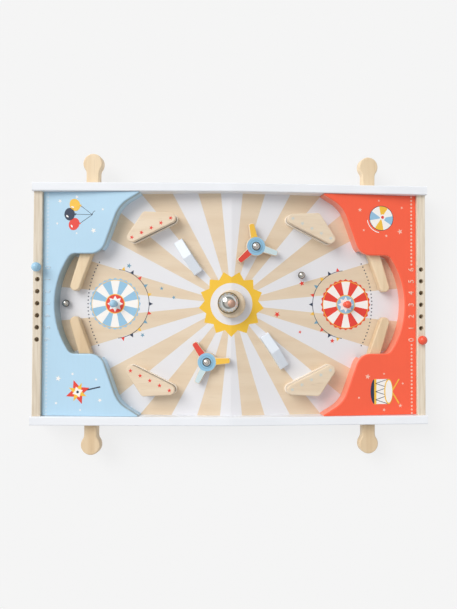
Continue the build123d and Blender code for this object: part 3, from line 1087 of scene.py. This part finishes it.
@dataclass
class Stencil:
    """Flat printed shapes, placed from an origin, that become one thin piece on a surface."""

    name: str
    origin: Place = (0.0, 0.0)
    shapes: list[bpy.types.Object] = field(default_factory=list)
    layer_height: float = 0.05
    ink_height: float = 0.09
    ink_depth: float = 0.16
    wedge_steps: int = 4
    step_angle: float = 4.0
    least_steps: int = 6
    cap_share: float = 0.70
    boldness: float = 0.12

    def keep(self, place: Place, turn: float, inks: Sequence[Finish], layer: int) -> None:
        """Ink the shape that was just made and put it in its place.

        Args:
            place: Where its own middle goes, from the origin.
            turn: Turn in degrees.
            inks: Its inks.
            layer: How many prints lie under it.
        """
        shape = bpy.context.object
        for ink in inks:
            shape.data.materials.append(ink.material())
        along, across = self.origin[0] + place[0], self.origin[1] + place[1]
        height = self.ink_height + layer * self.layer_height
        shape.rotation_euler = (0, 0, math.radians(turn))
        shape.location = (along * MM, across * MM, height * MM)
        Bench.settle(shape)
        self.shapes.append(shape)

    def disc(
        self,
        place: Place,
        radius: float,
        ink: Finish,
        layer: int = 0,
        sides: int = 40,
        stretch: Place = (1.0, 1.0),
        turn: float = 0.0,
    ) -> None:
        """Print a round, oval or many-sided patch.

        Args:
            place: Centre.
            radius: Radius before stretching.
            ink: Its ink.
            layer: How many prints lie under it.
            sides: Number of sides.
            stretch: Shares of the radius along its own two axes.
            turn: Turn in degrees.
        """
        Bench.clear()
        bpy.ops.mesh.primitive_circle_add(vertices=sides, radius=radius * MM, fill_type="NGON")
        bpy.context.object.scale = (*stretch, 1)
        self.keep(place, turn, [ink], layer)

    def star(
        self,
        place: Place,
        radius: float,
        ink: Finish,
        layer: int = 0,
        points: int = 5,
        waist: float = 0.42,
        turn: float = 0.0,
    ) -> None:
        """Print a star.

        Args:
            place: Centre.
            radius: Radius to the tips.
            ink: Its ink.
            layer: How many prints lie under it.
            points: Number of tips.
            waist: Share of the radius between tips.
            turn: Turn in degrees.
        """
        corners = 2 * points
        Bench.clear()
        bpy.ops.mesh.primitive_circle_add(vertices=corners, radius=radius * MM, fill_type="NGON")
        with Bench.editing(bpy.context.object, range(1, corners, 2)):
            bpy.ops.transform.resize(value=(waist, waist, 1), center_override=(0, 0, 0))
        self.keep(place, turn, [ink], layer)

    def fan(
        self, place: Place, radius: float, inks: Sequence[Finish], wedges: int, layer: int, turn: float
    ) -> None:
        """Print a disc of wedges in turn.

        Args:
            place: Centre.
            radius: Its radius.
            inks: Inks of the wedges, in turn.
            wedges: Number of wedges.
            layer: How many prints lie under it.
            turn: Turn in degrees.
        """
        sides = wedges * self.wedge_steps
        Bench.clear()
        bpy.ops.mesh.primitive_circle_add(vertices=sides, radius=radius * MM, fill_type="TRIFAN")
        for face in bpy.context.object.data.polygons:
            share = math.atan2(face.center.y, face.center.x) / FULL_TURN % 1
            face.material_index = int(share * wedges) % len(inks)
        self.keep(place, turn, inks, layer)

    def ribbon(
        self, centre: Place, radius: float, start: float, end: float, width: float, ink: Finish
    ) -> None:
        """Print a curved line, spun about its centre.

        Args:
            centre: Centre of the curve.
            radius: Middle radius of the line.
            start: First angle in degrees.
            end: Last angle.
            width: Width of the line.
            ink: Its ink.
        """
        Bench.clear()
        bpy.ops.mesh.primitive_plane_add(size=width * MM, location=(radius * MM, 0, 0))
        shape = bpy.context.object
        Bench.settle(shape)
        upper = [corner.index for corner in shape.data.vertices if corner.co.y > 0]
        steps = max(self.least_steps, int(abs(end - start) / self.step_angle))
        sweep = math.radians(start - end)
        with Bench.editing(shape, upper):
            bpy.ops.mesh.delete(type="VERT")
            bpy.ops.mesh.select_all(action="SELECT")
            bpy.ops.mesh.spin(steps=steps, angle=sweep, center=(0, 0, 0), axis=(0, 0, 1))
        Bench.outward(shape)
        self.keep(centre, start, [ink], 0)
        if shape.data.polygons[0].normal.z < 0:
            with Bench.editing(shape):
                bpy.ops.mesh.flip_normals()

    def bar(
        self, place: Place, length: float, width: float, turn: float, ink: Finish, layer: int = 0
    ) -> None:
        """Print a straight bar.

        Args:
            place: Centre.
            length: Length along its own first axis.
            width: Width.
            turn: Turn in degrees.
            ink: Its ink.
            layer: How many prints lie under it.
        """
        Bench.clear()
        bpy.ops.mesh.primitive_plane_add(size=1.0)
        bpy.context.object.scale = (length * MM, width * MM, 1)
        self.keep(place, turn, [ink], layer)

    def numeral(self, digit: int, place: Place, height: float, turn: float, ink: Finish) -> None:
        """Print one plain numeral.

        Args:
            digit: The numeral.
            place: Its centre.
            height: Its height.
            turn: Turn in degrees.
            ink: Its ink.
        """
        Bench.clear()
        bpy.ops.object.text_add()
        word = bpy.context.object
        word.data.body = str(digit)
        word.data.size = height * MM / self.cap_share
        word.data.align_x = "CENTER"
        word.data.align_y = "CENTER"
        word.data.offset = self.boldness * MM
        Bench.only(word)
        bpy.ops.object.convert(target="MESH")
        self.keep(place, turn, [ink], 0)

    def lay(self, matrix: Matrix, slot: Slot) -> None:
        """Join the shapes, give them thickness and lay them on a surface of the case.

        Args:
            matrix: From the flat print to the case.
            slot: The record's material slot.
        """
        sheet = Bench.join(self.shapes, self.name)
        Bench.modify(sheet, "SOLIDIFY", thickness=self.ink_depth * MM, offset=-1.0)
        Bench.move(sheet, matrix)
        adopt(sheet, CASE, slot)


class Assembly:
    """A sub-assembly, which dresses its CAD nodes and builds its new pieces."""

    def dress(self) -> None:
        """Finish the CAD nodes, where there are any."""

    def build(self) -> None:
        """Make the new pieces, where there are any."""


@dataclass
class CaseFrame(Assembly):
    """Rails, end walls, boards with their blocks, and all that holds them together."""

    rail_outer: float = 182.0
    head_radius: float = 3.85
    head_proud: float = 0.12
    head_depth: float = 1.4
    head_taper: float = 1.2
    head_edge: float = 0.25
    head_sides: int = 40
    recess: float = 0.9
    recess_arm: float = 4.6
    recess_width: float = 0.95
    screw_turn: float = 0.4
    screw_places: tuple[Place, ...] = (
        (-292, 13.4), (-292, 34.2), (292, 13.4), (292, 34.2), (0, 27.97)
    )

    def dress(self) -> None:
        """Finish the CAD nodes of the case."""
        dress(RAIL_WHITE, "rail_back", "rail_front")
        dress(WALL_BEECH, "end_wall_right", "end_wall_left")
        dress(BOARD, "playfield_right", "playfield_left")
        dress(BLOCK_WHITE, "hop_block_right", "hop_block_left")
        dress(RAW_BEECH, "ridge_beam", "panel_cleats")
        dress(FOOT_RUBBER, "feet")
        dress(ZINC, "frame_screws", "flipper_pivots", "flipper_washers", "spinner_nuts")

    def screw_head(self) -> bpy.types.Object:
        """One countersunk head with a cross recess, facing up.

        Returns:
            The head.
        """
        top, rim, edge = self.head_proud, self.head_radius, self.head_edge
        foot = (rim - self.head_taper, top - self.head_depth)
        profile = [foot, (rim, top - edge), (rim - edge, top), (0, top)]
        head = lathe("screw_head", profile, ZINC, self.head_sides)
        for turn in (0.0, 90.0):
            Bench.clear()
            bpy.ops.mesh.primitive_cube_add(size=1.0, rotation=(0, 0, math.radians(turn)))
            cutter = bpy.context.object
            cutter.scale = (self.recess_arm * MM, self.recess_width * MM, 2 * self.recess * MM)
            cutter.location.z = top * MM
            Bench.settle(cutter)
            Bench.modify(head, "BOOLEAN", object=cutter, operation="DIFFERENCE", solver="EXACT")
            bpy.data.objects.remove(cutter)
        Bench.smooth(head)
        return head

    def build(self) -> None:
        """Set a head on each screw."""
        model = self.screw_head()
        heads = []
        for way in (1, -1):
            facing = Matrix.Rotation(math.radians(-90 * way), 4, "X")
            for along, height in self.screw_places:
                spot = Matrix.Translation((along * MM, way * self.rail_outer * MM, height * MM))
                turn = Matrix.Rotation(self.screw_turn * along, 4, "Z")
                heads.append(Bench.copy(model, spot @ facing @ turn))
        bpy.data.objects.remove(model)
        adopt(Bench.join(heads, "screw_heads"), CASE, Slot.STEEL)


@dataclass
class PlayerEnd(Assembly):
    """Deck, spacers, levers, goal post and score peg of one end."""

    side: Side
    deck: Finish
    spacer: Finish
    turned: Finish
    ink: Finish
    slot: Slot
    score_line: float = 277.4
    score_pitch: float = 18.1
    score_count: int = 7
    numeral_height: float = 8.6
    numeral_turn: float = 90.0
    dot_radius: float = 1.55
    dot_pitch: float = 5.5
    dot_start: float = 62.2
    dot_count: int = 20
    dot_sides: int = 16
    peg_across: float = -54.3
    wall_middle: float = 292.0
    wall_top: float = 43.0

    def dress(self) -> None:
        """Finish the CAD nodes of this end."""
        end = self.side.value
        dress(self.deck, f"deck_{end}", f"gutter_{end}")
        dress(self.spacer, f"corner_spacers_{end}")
        dress(LEVER_BEECH, f"flipper_{end}_back")
        # The front levers take the darker beech as painted shade.
        dress(LEVER_BEECH_PAINTED_SHADE, f"flipper_{end}_front")

    def build_post(self) -> None:
        """Turn the goal post: a waisted stem, a bead and a ball head."""
        node = f"goal_post_{self.side.value}"
        post = lathe(f"{node}_turned", POST.profile(), self.turned)
        Bench.move(post, self.side.board(POST_ALONG))
        adopt(post, CASE, self.slot, node)

    def build_peg(self) -> None:
        """Turn the score peg: a shank with a chamfer, a collar and a ball head."""
        node = f"score_peg_{self.side.value}"
        peg = lathe(f"{node}_turned", PEG.profile(), self.turned)
        spot = (self.wall_middle * MM, self.peg_across * MM, self.wall_top * MM)
        Bench.move(peg, self.side.turn() @ Matrix.Translation(spot))
        adopt(peg, node, self.slot, node)

    def build_scores(self) -> None:
        """Print the numerals and the dotted line beside the score holes."""
        score = Stencil(f"score_print_{self.side.value}")
        for digit in range(self.score_count):
            place = (self.score_line, (digit - (self.score_count - 1) / 2) * self.score_pitch)
            score.numeral(digit, place, self.numeral_height, self.numeral_turn, self.ink)
        for count in range(self.dot_count):
            across = self.dot_start + count * self.dot_pitch
            for way in (1, -1):
                place = (self.score_line, way * across)
                score.disc(place, self.dot_radius, self.ink, sides=self.dot_sides)
        score.lay(self.side.board(above=DECK_HEIGHT), self.slot)

    def build(self) -> None:
        """Make all the pieces of this end."""
        self.build_post()
        self.build_peg()
        self.build_scores()


@dataclass
class DeckToys(Assembly):
    """Generic toys printed in the corners of the decks, each about its sheet's origin."""

    along: float = 229.0
    across: float = 133.0
    star_turn: float = 31.0
    back_stars: tuple[Spot, ...] = (
        (-34, 12, 3.4), (33, 17, 2.4), (-28, -19, 2.2), (30, -20, 4.6), (-4, 27, 2.0), (8, -27, 2.6)
    )
    front_stars: tuple[Spot, ...] = (
        (30, -22, 3.2), (-36, -9, 2.2), (-22, 23, 4.4), (34, 12, 2.2), (4, -28, 2.8), (4, 27, 2.0)
    )

    def balloons(self, sheet: Stencil) -> None:
        """A bunch of three balloons, with strings that meet in a knot.

        Args:
            sheet: Print that they join.
        """
        knot, string, pull = (-20, -1), 0.7, 0.93
        bunch = ((8, 13, INK_CORAL, 66), (15, -2, INK_NAVY, 90), (7, -16, INK_YELLOW, 114))
        for x, y, ink, lean in bunch:
            shine, tail, end = (x + 3.4, y + 3.2), (x - 8.8, y * pull), (x - 9, y * pull)
            sheet.disc((x, y), 9.5, ink, layer=1, sides=36, stretch=(0.84, 1.0), turn=lean - 90)
            sheet.disc(tail, 2.2, ink, layer=1, sides=3, turn=lean - 90)
            sheet.disc(shine, 1.9, INK_WHITE, layer=2, sides=20, stretch=(0.6, 1.2), turn=lean - 40)
            middle = ((end[0] + knot[0]) / 2, (end[1] + knot[1]) / 2)
            turn = math.degrees(math.atan2(end[1] - knot[1], end[0] - knot[0]))
            sheet.bar(middle, math.dist(end, knot), string, turn, INK_NAVY)
        sheet.ribbon((knot[0] - 6, knot[1]), 6, start=-70, end=10, width=string, ink=INK_NAVY)

    def pinwheel(self, sheet: Stencil) -> None:
        """A toy pinwheel on a stick.

        Args:
            sheet: Print that it joins.
        """
        middle = (0, 0)
        sheet.bar((-17, -4), length=36, width=2.0, turn=13, ink=INK_NAVY)
        sheet.star(middle, 19.0, INK_CORAL, layer=1, points=4, waist=0.42, turn=20)
        sheet.star(middle, 15.0, INK_YELLOW, layer=2, points=4, waist=0.38, turn=65)
        sheet.star(middle, 8.5, INK_WHITE, layer=3, points=4, waist=0.55, turn=20)
        sheet.disc(middle, 2.0, INK_NAVY, layer=4, sides=24)

    def beach_ball(self, sheet: Stencil) -> None:
        """A striped ball with a shadow line.

        Args:
            sheet: Print that it joins.
        """
        middle, pole = (0, 0), (2.0, 1.5)
        stripes = (INK_WHITE, INK_YELLOW, INK_WHITE, INK_SKY)
        sheet.disc(middle, 19.2, INK_NAVY, sides=64)
        sheet.fan(middle, 18.4, stripes, wedges=8, layer=1, turn=11)
        sheet.disc(pole, 4.4, INK_WHITE, layer=2, sides=32)
        sheet.disc(pole, 2.4, INK_CORAL, layer=3, sides=24)
        sheet.ribbon(middle, 22.5, start=190, end=262, width=1.2, ink=INK_WHITE)

    def drum(self, sheet: Stencil) -> None:
        """A toy drum with laced sides and two sticks.

        Args:
            sheet: Print that it joins.
        """
        lean, laces, pitch = 18, 6, 6.2
        for way in (1, -1):
            sheet.bar((20, way * 6), length=30, width=1.8, turn=way * 58, ink=INK_YELLOW)
        sheet.disc((-11, 0), 19, INK_NAVY, layer=1, sides=48, stretch=(0.34, 1.0))
        sheet.bar((0, 0), length=22, width=38, turn=0, ink=INK_WHITE, layer=2)
        for count in range(laces):
            place = (0, (count - (laces - 1) / 2) * pitch)
            turn = lean if count % 2 else -lean
            sheet.bar(place, length=21, width=0.9, turn=turn, ink=INK_NAVY, layer=3)
        sheet.bar((-10, 0), length=3.4, width=38.4, turn=0, ink=INK_YELLOW, layer=3)
        sheet.disc((11, 0), 19.2, INK_YELLOW, layer=4, sides=48, stretch=(0.36, 1.0))
        sheet.disc((11.4, 0), 17.2, INK_WHITE, layer=5, sides=48, stretch=(0.32, 1.0))

    def build(self) -> None:
        """Print one toy with small stars around it in each corner."""
        plans = (
            (Side.RIGHT, self.beach_ball, self.drum, INK_BLUSH, Slot.CORAL),
            (Side.LEFT, self.pinwheel, self.balloons, INK_WHITE, Slot.BLUE),
        )
        for side, back, front, ink, slot in plans:
            sheet = Stencil(f"deck_toys_{side.value}")
            for way, toy, stars in ((1, back, self.back_stars), (-1, front, self.front_stars)):
                sheet.origin = (self.along, way * self.across)
                toy(sheet)
                for number, (x, y, radius) in enumerate(stars):
                    sheet.star((x, y), radius, ink, turn=number * self.star_turn)
            sheet.lay(side.board(above=DECK_HEIGHT), slot)


@dataclass
class BoardPrint(Assembly):
    """Stars, rosette, bunting and dotted arc printed on one board."""

    side: Side
    accent: Finish
    second: Finish
    star_ink: Finish
    stars: tuple[Spot, ...]
    star_turns: Place = (90.0, 17.0)
    middle: Place = (POST_ALONG, 0.0)
    scallops: int = 28
    wedges: int = 16
    outer: float = 40.0
    inner: float = 36.0
    inner_rim: float = 0.9
    eye: float = 14.0
    eye_rim: float = 1.2
    eye_star: float = 12.5
    line_radius: float = 53.0
    line_width: float = 0.9
    line_ends: Place = (96.0, 264.0)
    flag_count: int = 11
    flag_size: float = 3.9
    flag_hang: float = 2.0
    arc_centre: Place = (94.0, 0.0)
    arc_radius: float = 128.0
    arc_half: float = 30.0
    dot_step: float = 2.5
    dot_radius: float = 1.05
    dot_sides: int = 14

    def rosette(self, sheet: Stencil) -> None:
        """Scalloped wheel of wedges around the goal post.

        Args:
            sheet: Print that it joins.
        """
        middle, inks, half_wedge = self.middle, (self.accent, INK_WHITE), 180 / self.wedges
        sheet.star(middle, self.outer, self.accent, points=self.scallops, waist=0.94)
        sheet.disc(middle, self.inner + self.inner_rim, INK_YELLOW, layer=1, sides=72)
        sheet.fan(middle, self.inner, inks, self.wedges, layer=2, turn=half_wedge)
        sheet.disc(middle, self.eye + self.eye_rim, INK_YELLOW, layer=3, sides=48)
        sheet.disc(middle, self.eye, self.second, layer=4, sides=48)
        sheet.star(middle, self.eye_star, INK_WHITE, layer=5, points=8, waist=0.62)

    def bunting(self, sheet: Stencil) -> None:
        """A string of small flags round the rosette.

        Args:
            sheet: Print that it joins.
        """
        start, end = self.line_ends
        inks = (INK_CORAL, INK_NAVY, INK_YELLOW, INK_GREY_BLUE)
        sheet.ribbon(self.middle, self.line_radius, start, end, self.line_width, INK_NAVY)
        for count in range(self.flag_count):
            angle = start + (end - start) * (count + 0.5) / self.flag_count
            spot = around(self.middle, self.line_radius + self.flag_hang, angle)
            shape = {"sides": 3, "stretch": (0.85, 1.0), "turn": angle - 90}
            sheet.disc(spot, self.flag_size, inks[count % len(inks)], layer=1, **shape)

    def dotted_arc(self, sheet: Stencil) -> None:
        """Dots on a curve in front of the drain pocket.

        Args:
            sheet: Print that it joins.
        """
        count = int(self.arc_half / self.dot_step)
        for step in range(-count, count + 1):
            spot = around(self.arc_centre, self.arc_radius, step * self.dot_step)
            sheet.disc(spot, self.dot_radius, INK_NAVY, sides=self.dot_sides)

    def build(self) -> None:
        """Print the whole board."""
        sheet = Stencil(f"board_print_{self.side.value}")
        first, step = self.star_turns
        for number, (along, across, radius) in enumerate(self.stars):
            sheet.star((along, across), radius, self.star_ink, turn=first + number * step)
        self.rosette(sheet)
        self.bunting(sheet)
        self.dotted_arc(sheet)
        sheet.lay(self.side.board(), Slot.PRINT)


@dataclass
class Bumper(Assembly):
    """One layered bumper with its elastic band and a row of stars on top."""

    side: Side
    row: Row
    star_ink: Finish
    # Share of the painted shade on the base plate's upper face between the layers.
    stain: float
    along: float = 119.71
    across: float = 114.58
    turn: float = -26.0
    height: float = 22.0
    base_height: float = 6.0
    # A paler copy of the top's beech on the base plate: painted light for its lip, which lies in the
    # top plate's shade.
    base_pale: Colour = tone(252, 243, 230)
    base_dark: Colour = tone(240, 224, 204)
    star_count: int = 5
    star_pitch: float = 16.4
    star_radius: float = 3.5
    star_inset: float = 0.6
    star_turn: float = 64.0

    def way(self) -> int:
        """Minus one where this bumper mirrors the other one of its board, else one."""
        return -1 if (self.side is Side.RIGHT) == (self.row is Row.FRONT) else 1

    def matrix(self, height: float) -> Matrix:
        """Matrix from a level of the bumper to the case."""
        spin = Matrix.Rotation(math.radians(self.turn * self.way()), 4, "Z")
        return self.side.board(self.along, self.across * self.way(), height) @ spin

    def dress(self) -> None:
        """Finish the layers."""
        stem = f"bumper_{self.side.value}_{self.row.value}_"
        flip = Matrix.Scale(self.way(), 4, (0, 1, 0))
        inward = flip @ self.matrix(self.base_height).inverted()
        rows = (tuple(inward[0]), tuple(inward[1]))
        base = LippedWood(
            f"{stem}beech", self.base_pale, self.base_dark, Grain.ALONG, rows=rows, stain=self.stain
        )
        dress(TOP_BEECH, f"{stem}top", f"{stem}core")
        dress(base, f"{stem}base")
        dress(BAND_ELASTIC, f"{stem}band")

    def build(self) -> None:
        """Print the stars along the long side."""
        sheet = Stencil(f"bumper_stars_{self.side.value}_{self.row.value}")
        for count in range(self.star_count):
            place = ((count - (self.star_count - 1) / 2) * self.star_pitch, self.star_inset)
            sheet.star(place, self.star_radius, self.star_ink, turn=self.star_turn)
        sheet.lay(self.matrix(self.height), Slot.WOOD)


@dataclass
class Spinners(Assembly):
    """Both rotors with their bolts; the CAD rotors keep their shape and get their paint."""

    starts: tuple[tuple[Side, float], ...] = ((Side.RIGHT, 102.0), (Side.LEFT, 4.0))
    along: float = 35.885
    across: float = 87.542
    hub_height: float = 12.0

    def dress(self) -> None:
        """Paint the rotors and finish their sleeves."""
        for side, start in self.starts:
            hub = side.board(self.along, self.across, self.hub_height).to_translation() / MM
            paint = BladePaint(f"blade_paint_{side.value}", (hub.x, hub.y), start)
            dress(paint, f"spinner_{side.value}")
        dress(NYLON, "spinner_sleeves")

    def build(self) -> None:
        """Turn the dome-head bolts, each with its washer face and shank."""
        bolts = []
        for side, _ in self.starts:
            bolt = lathe(f"bolt_{side.value}", BOLT.profile(), CHROME)
            Bench.move(bolt, side.board(self.along, self.across))
            bolts.append(bolt)
        adopt(Bench.join(bolts, "spinner_bolts_turned"), CASE, Slot.CHROME, "spinner_bolts")


@dataclass
class Bell(Assembly):
    """The bell on its drum at the ridge; the gong hangs a little off the middle."""

    rim: float = 59.6
    height: float = 14.0
    radius: float = 16.2
    wall: float = 1.3
    pole: float = 0.4
    shift: Place = (-4.6, 1.5)
    inner_steps: int = 22
    outer_steps: int = 30
    sides: int = 96

    def dress(self) -> None:
        """Finish the drum and the stud."""
        dress(DRUM_BEECH, "bell_base")
        dress(RIVET_COPPER, "bell_stud")

    def build(self) -> None:
        """Turn the gong as a thin shell, inner skin first."""
        outer = (self.radius**2 + self.height**2) / (2 * self.height)
        inner = outer - self.wall
        top = self.rim + self.height
        centre = (0.0, top - outer)
        lows = [math.degrees(math.asin((self.rim - centre[1]) / ball)) for ball in (inner, outer)]
        tops = [math.degrees(math.acos(self.pole / ball)) for ball in (inner, outer)]
        inside = arc(centre, inner, tops[0], lows[0], self.inner_steps)
        outside = arc(centre, outer, lows[1], tops[1], self.outer_steps)
        profile = [*inside, *outside, (0, top)]
        gong = lathe("bell_gong_spun", profile, GONG_CHROME, self.sides)
        Bench.move(gong, Matrix.Translation((self.shift[0] * MM, self.shift[1] * MM, 0)))
        adopt(gong, CASE, Slot.CHROME, "bell_gong")


@dataclass
class Ball(Assembly):
    """One steel ball."""

    side: Side
    radius: float = 5.6
    cuts: int = 23
    smooth_angle: float = 60.0

    def build(self) -> None:
        """Round a divided cube into a ball without poles."""
        node = f"ball_{self.side.value}"
        low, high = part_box(node)
        Bench.clear()
        bpy.ops.mesh.primitive_cube_add(size=2 * self.radius * MM)
        ball = bpy.context.object
        with Bench.editing(ball):
            bpy.ops.mesh.subdivide(number_cuts=self.cuts)
            bpy.ops.transform.tosphere(value=1.0)
        reach = max(corner.co.length for corner in ball.data.vertices)
        share = self.radius * MM / reach
        ball.scale = (share, share, share)
        Bench.settle(ball)
        Bench.move(ball, Matrix.Translation((low + high) / 2))
        Bench.smooth(ball, self.smooth_angle)
        ball.name = f"{node}_steel"
        ball.data.materials.append(BALL_STEEL.material())
        adopt(ball, node, Slot.CHROME, node)


@dataclass
class Studio(Assembly):
    """Floor, soft light from the upper left and the camera above."""

    floor_size: float = 12.0
    floor_colour: Colour = tone(245, 245, 245)
    floor_roughness: float = 0.9
    floor_glow: float = 0.85
    sky_light: float = 0.58
    sky_colour: Colour = (0.985, 0.99, 1.0)
    sky_edge: Colour = (0.90, 0.90, 0.90)
    sky_band: Colour = (0.26, 0.27, 0.26)
    sky_top: Colour = (0.74, 0.67, 0.62)
    band_heights: Place = (0.24, 0.50)
    top_heights: Place = (0.56, 0.84)
    sun_light: float = 2.08
    sun_size: float = 38.0
    sun_colour: Colour = (1.0, 0.985, 0.96)
    sun_way: Spot = (0.95, -0.80, -1.05)
    camera_place: Spot = (-0.015, -0.0156, 1.000)
    camera_turn: Spot = (1.342, -2.276, 0.192)
    camera_shift: Place = (-0.0296, -0.0082)
    camera_near: float = 0.01
    focal_pixels: float = 629.39
    picture_height: int = 609
    film: float = 36.0

    def floor(self) -> None:
        """Lay a plain pale floor that shows its shadows only faintly."""
        Bench.clear()
        bpy.ops.mesh.primitive_plane_add(size=self.floor_size)
        ground = bpy.context.object
        ground.name = "floor"
        recipe = Recipe("floor_paper")
        paper = recipe.done(Base_Color=self.floor_colour, Roughness=self.floor_roughness)
        ground.data.materials.append(paper)
        glow = recipe.node("ShaderNodeEmission", inputs={"Color": self.floor_colour})
        plain = Socket(recipe, recipe.shader.outputs[0])
        inputs = {0: recipe.seen() * self.floor_glow, 1: plain, 2: glow}
        both = recipe.node("ShaderNodeMixShader", inputs=inputs)
        recipe.set(recipe.tree.nodes["Material Output"].inputs["Surface"], both)

    def sky(self) -> None:
        """Even light all round; the eye and polished metal see a soft studio gradient."""
        world = bpy.data.worlds.new("studio")
        bpy.context.scene.world = world
        world.use_nodes = True
        tree = Tree(world.node_tree)
        world.node_tree.nodes.clear()
        light = tree.node("ShaderNodeBackground", inputs={0: self.sky_colour, 1: self.sky_light})
        height = tree.axes(tree.node("ShaderNodeTexCoord", output="Generated"))[2]
        colour = tree.mix(tree.ramp(height, *self.band_heights), self.sky_edge, self.sky_band)
        colour = tree.mix(tree.ramp(height, *self.top_heights), colour, self.sky_top)
        view = tree.node("ShaderNodeBackground", inputs={0: colour, 1: 1.0})
        both = tree.node("ShaderNodeMixShader", inputs={0: tree.seen(), 1: light, 2: view})
        tree.node("ShaderNodeOutputWorld", inputs={"Surface": both}, output=None)

    def lamp(self) -> None:
        """Hang a broad lamp at the upper left."""
        lamp = bpy.data.lights.new("window", "SUN")
        lamp.energy = self.sun_light
        lamp.angle = math.radians(self.sun_size)
        lamp.color = self.sun_colour
        holder = bpy.data.objects.new("window", lamp)
        bpy.context.scene.collection.objects.link(holder)
        holder.rotation_euler = Vector(self.sun_way).to_track_quat("-Z", "Y").to_euler()

    def camera(self) -> None:
        """Look down from the photograph's place."""
        camera = bpy.data.cameras.new("camera")
        camera.sensor_width = self.film
        camera.lens = self.focal_pixels * self.film / self.picture_height
        camera.clip_start = self.camera_near
        camera.shift_x, camera.shift_y = self.camera_shift
        holder = bpy.data.objects.new("camera", camera)
        holder.location = self.camera_place
        holder.rotation_euler = tuple(math.radians(turn) for turn in self.camera_turn)
        bpy.context.scene.collection.objects.link(holder)
        bpy.context.scene.camera = holder
        bpy.context.scene.view_settings.view_transform = "Standard"

    def build(self) -> None:
        """Set up the whole studio."""
        self.floor()
        self.sky()
        self.lamp()
        self.camera()


def main() -> None:
    """Build the pieces in order and report each one."""
    logging.basicConfig(level=logging.INFO, format="%(name)s: %(message)s")
    right_stars = ((109.5, 32.5, 4.6), (70.7, -15.7, 5.0), (106.7, -42.6, 2.8), (158.0, -56.4, 4.0))
    left_stars = ((158.4, -58.5, 4.2), (107.4, -23.6, 3.2), (88.6, -9.8, 3.2), (136.5, 47.9, 3.6))
    assemblies = (
        Studio(),
        CaseFrame(),
        PlayerEnd(Side.RIGHT, DECK_CORAL, DECK_CORAL, TURNED_CORAL, INK_BLUSH, Slot.CORAL),
        PlayerEnd(Side.LEFT, DECK_SKY, SPACER_SKY_PAINTED_LIGHT, TURNED_SKY, INK_PALE, Slot.BLUE),
        DeckToys(),
        BoardPrint(Side.RIGHT, INK_CORAL, INK_SKY, INK_CORAL, right_stars),
        BoardPrint(Side.LEFT, INK_SKY, INK_CORAL, INK_GREY_BLUE, left_stars),
        Bumper(Side.RIGHT, Row.BACK, INK_MIST, stain=0.55),
        Bumper(Side.RIGHT, Row.FRONT, INK_MIST, stain=0.30),
        Bumper(Side.LEFT, Row.FRONT, INK_CORAL, stain=0.85),
        Bumper(Side.LEFT, Row.BACK, INK_CORAL, stain=0.85),
        Spinners(),
        Bell(),
        Ball(Side.RIGHT),
        Ball(Side.LEFT),
    )
    for assembly in assemblies:
        assembly.dress()
        assembly.build()


if __name__ == "__main__":
    main()
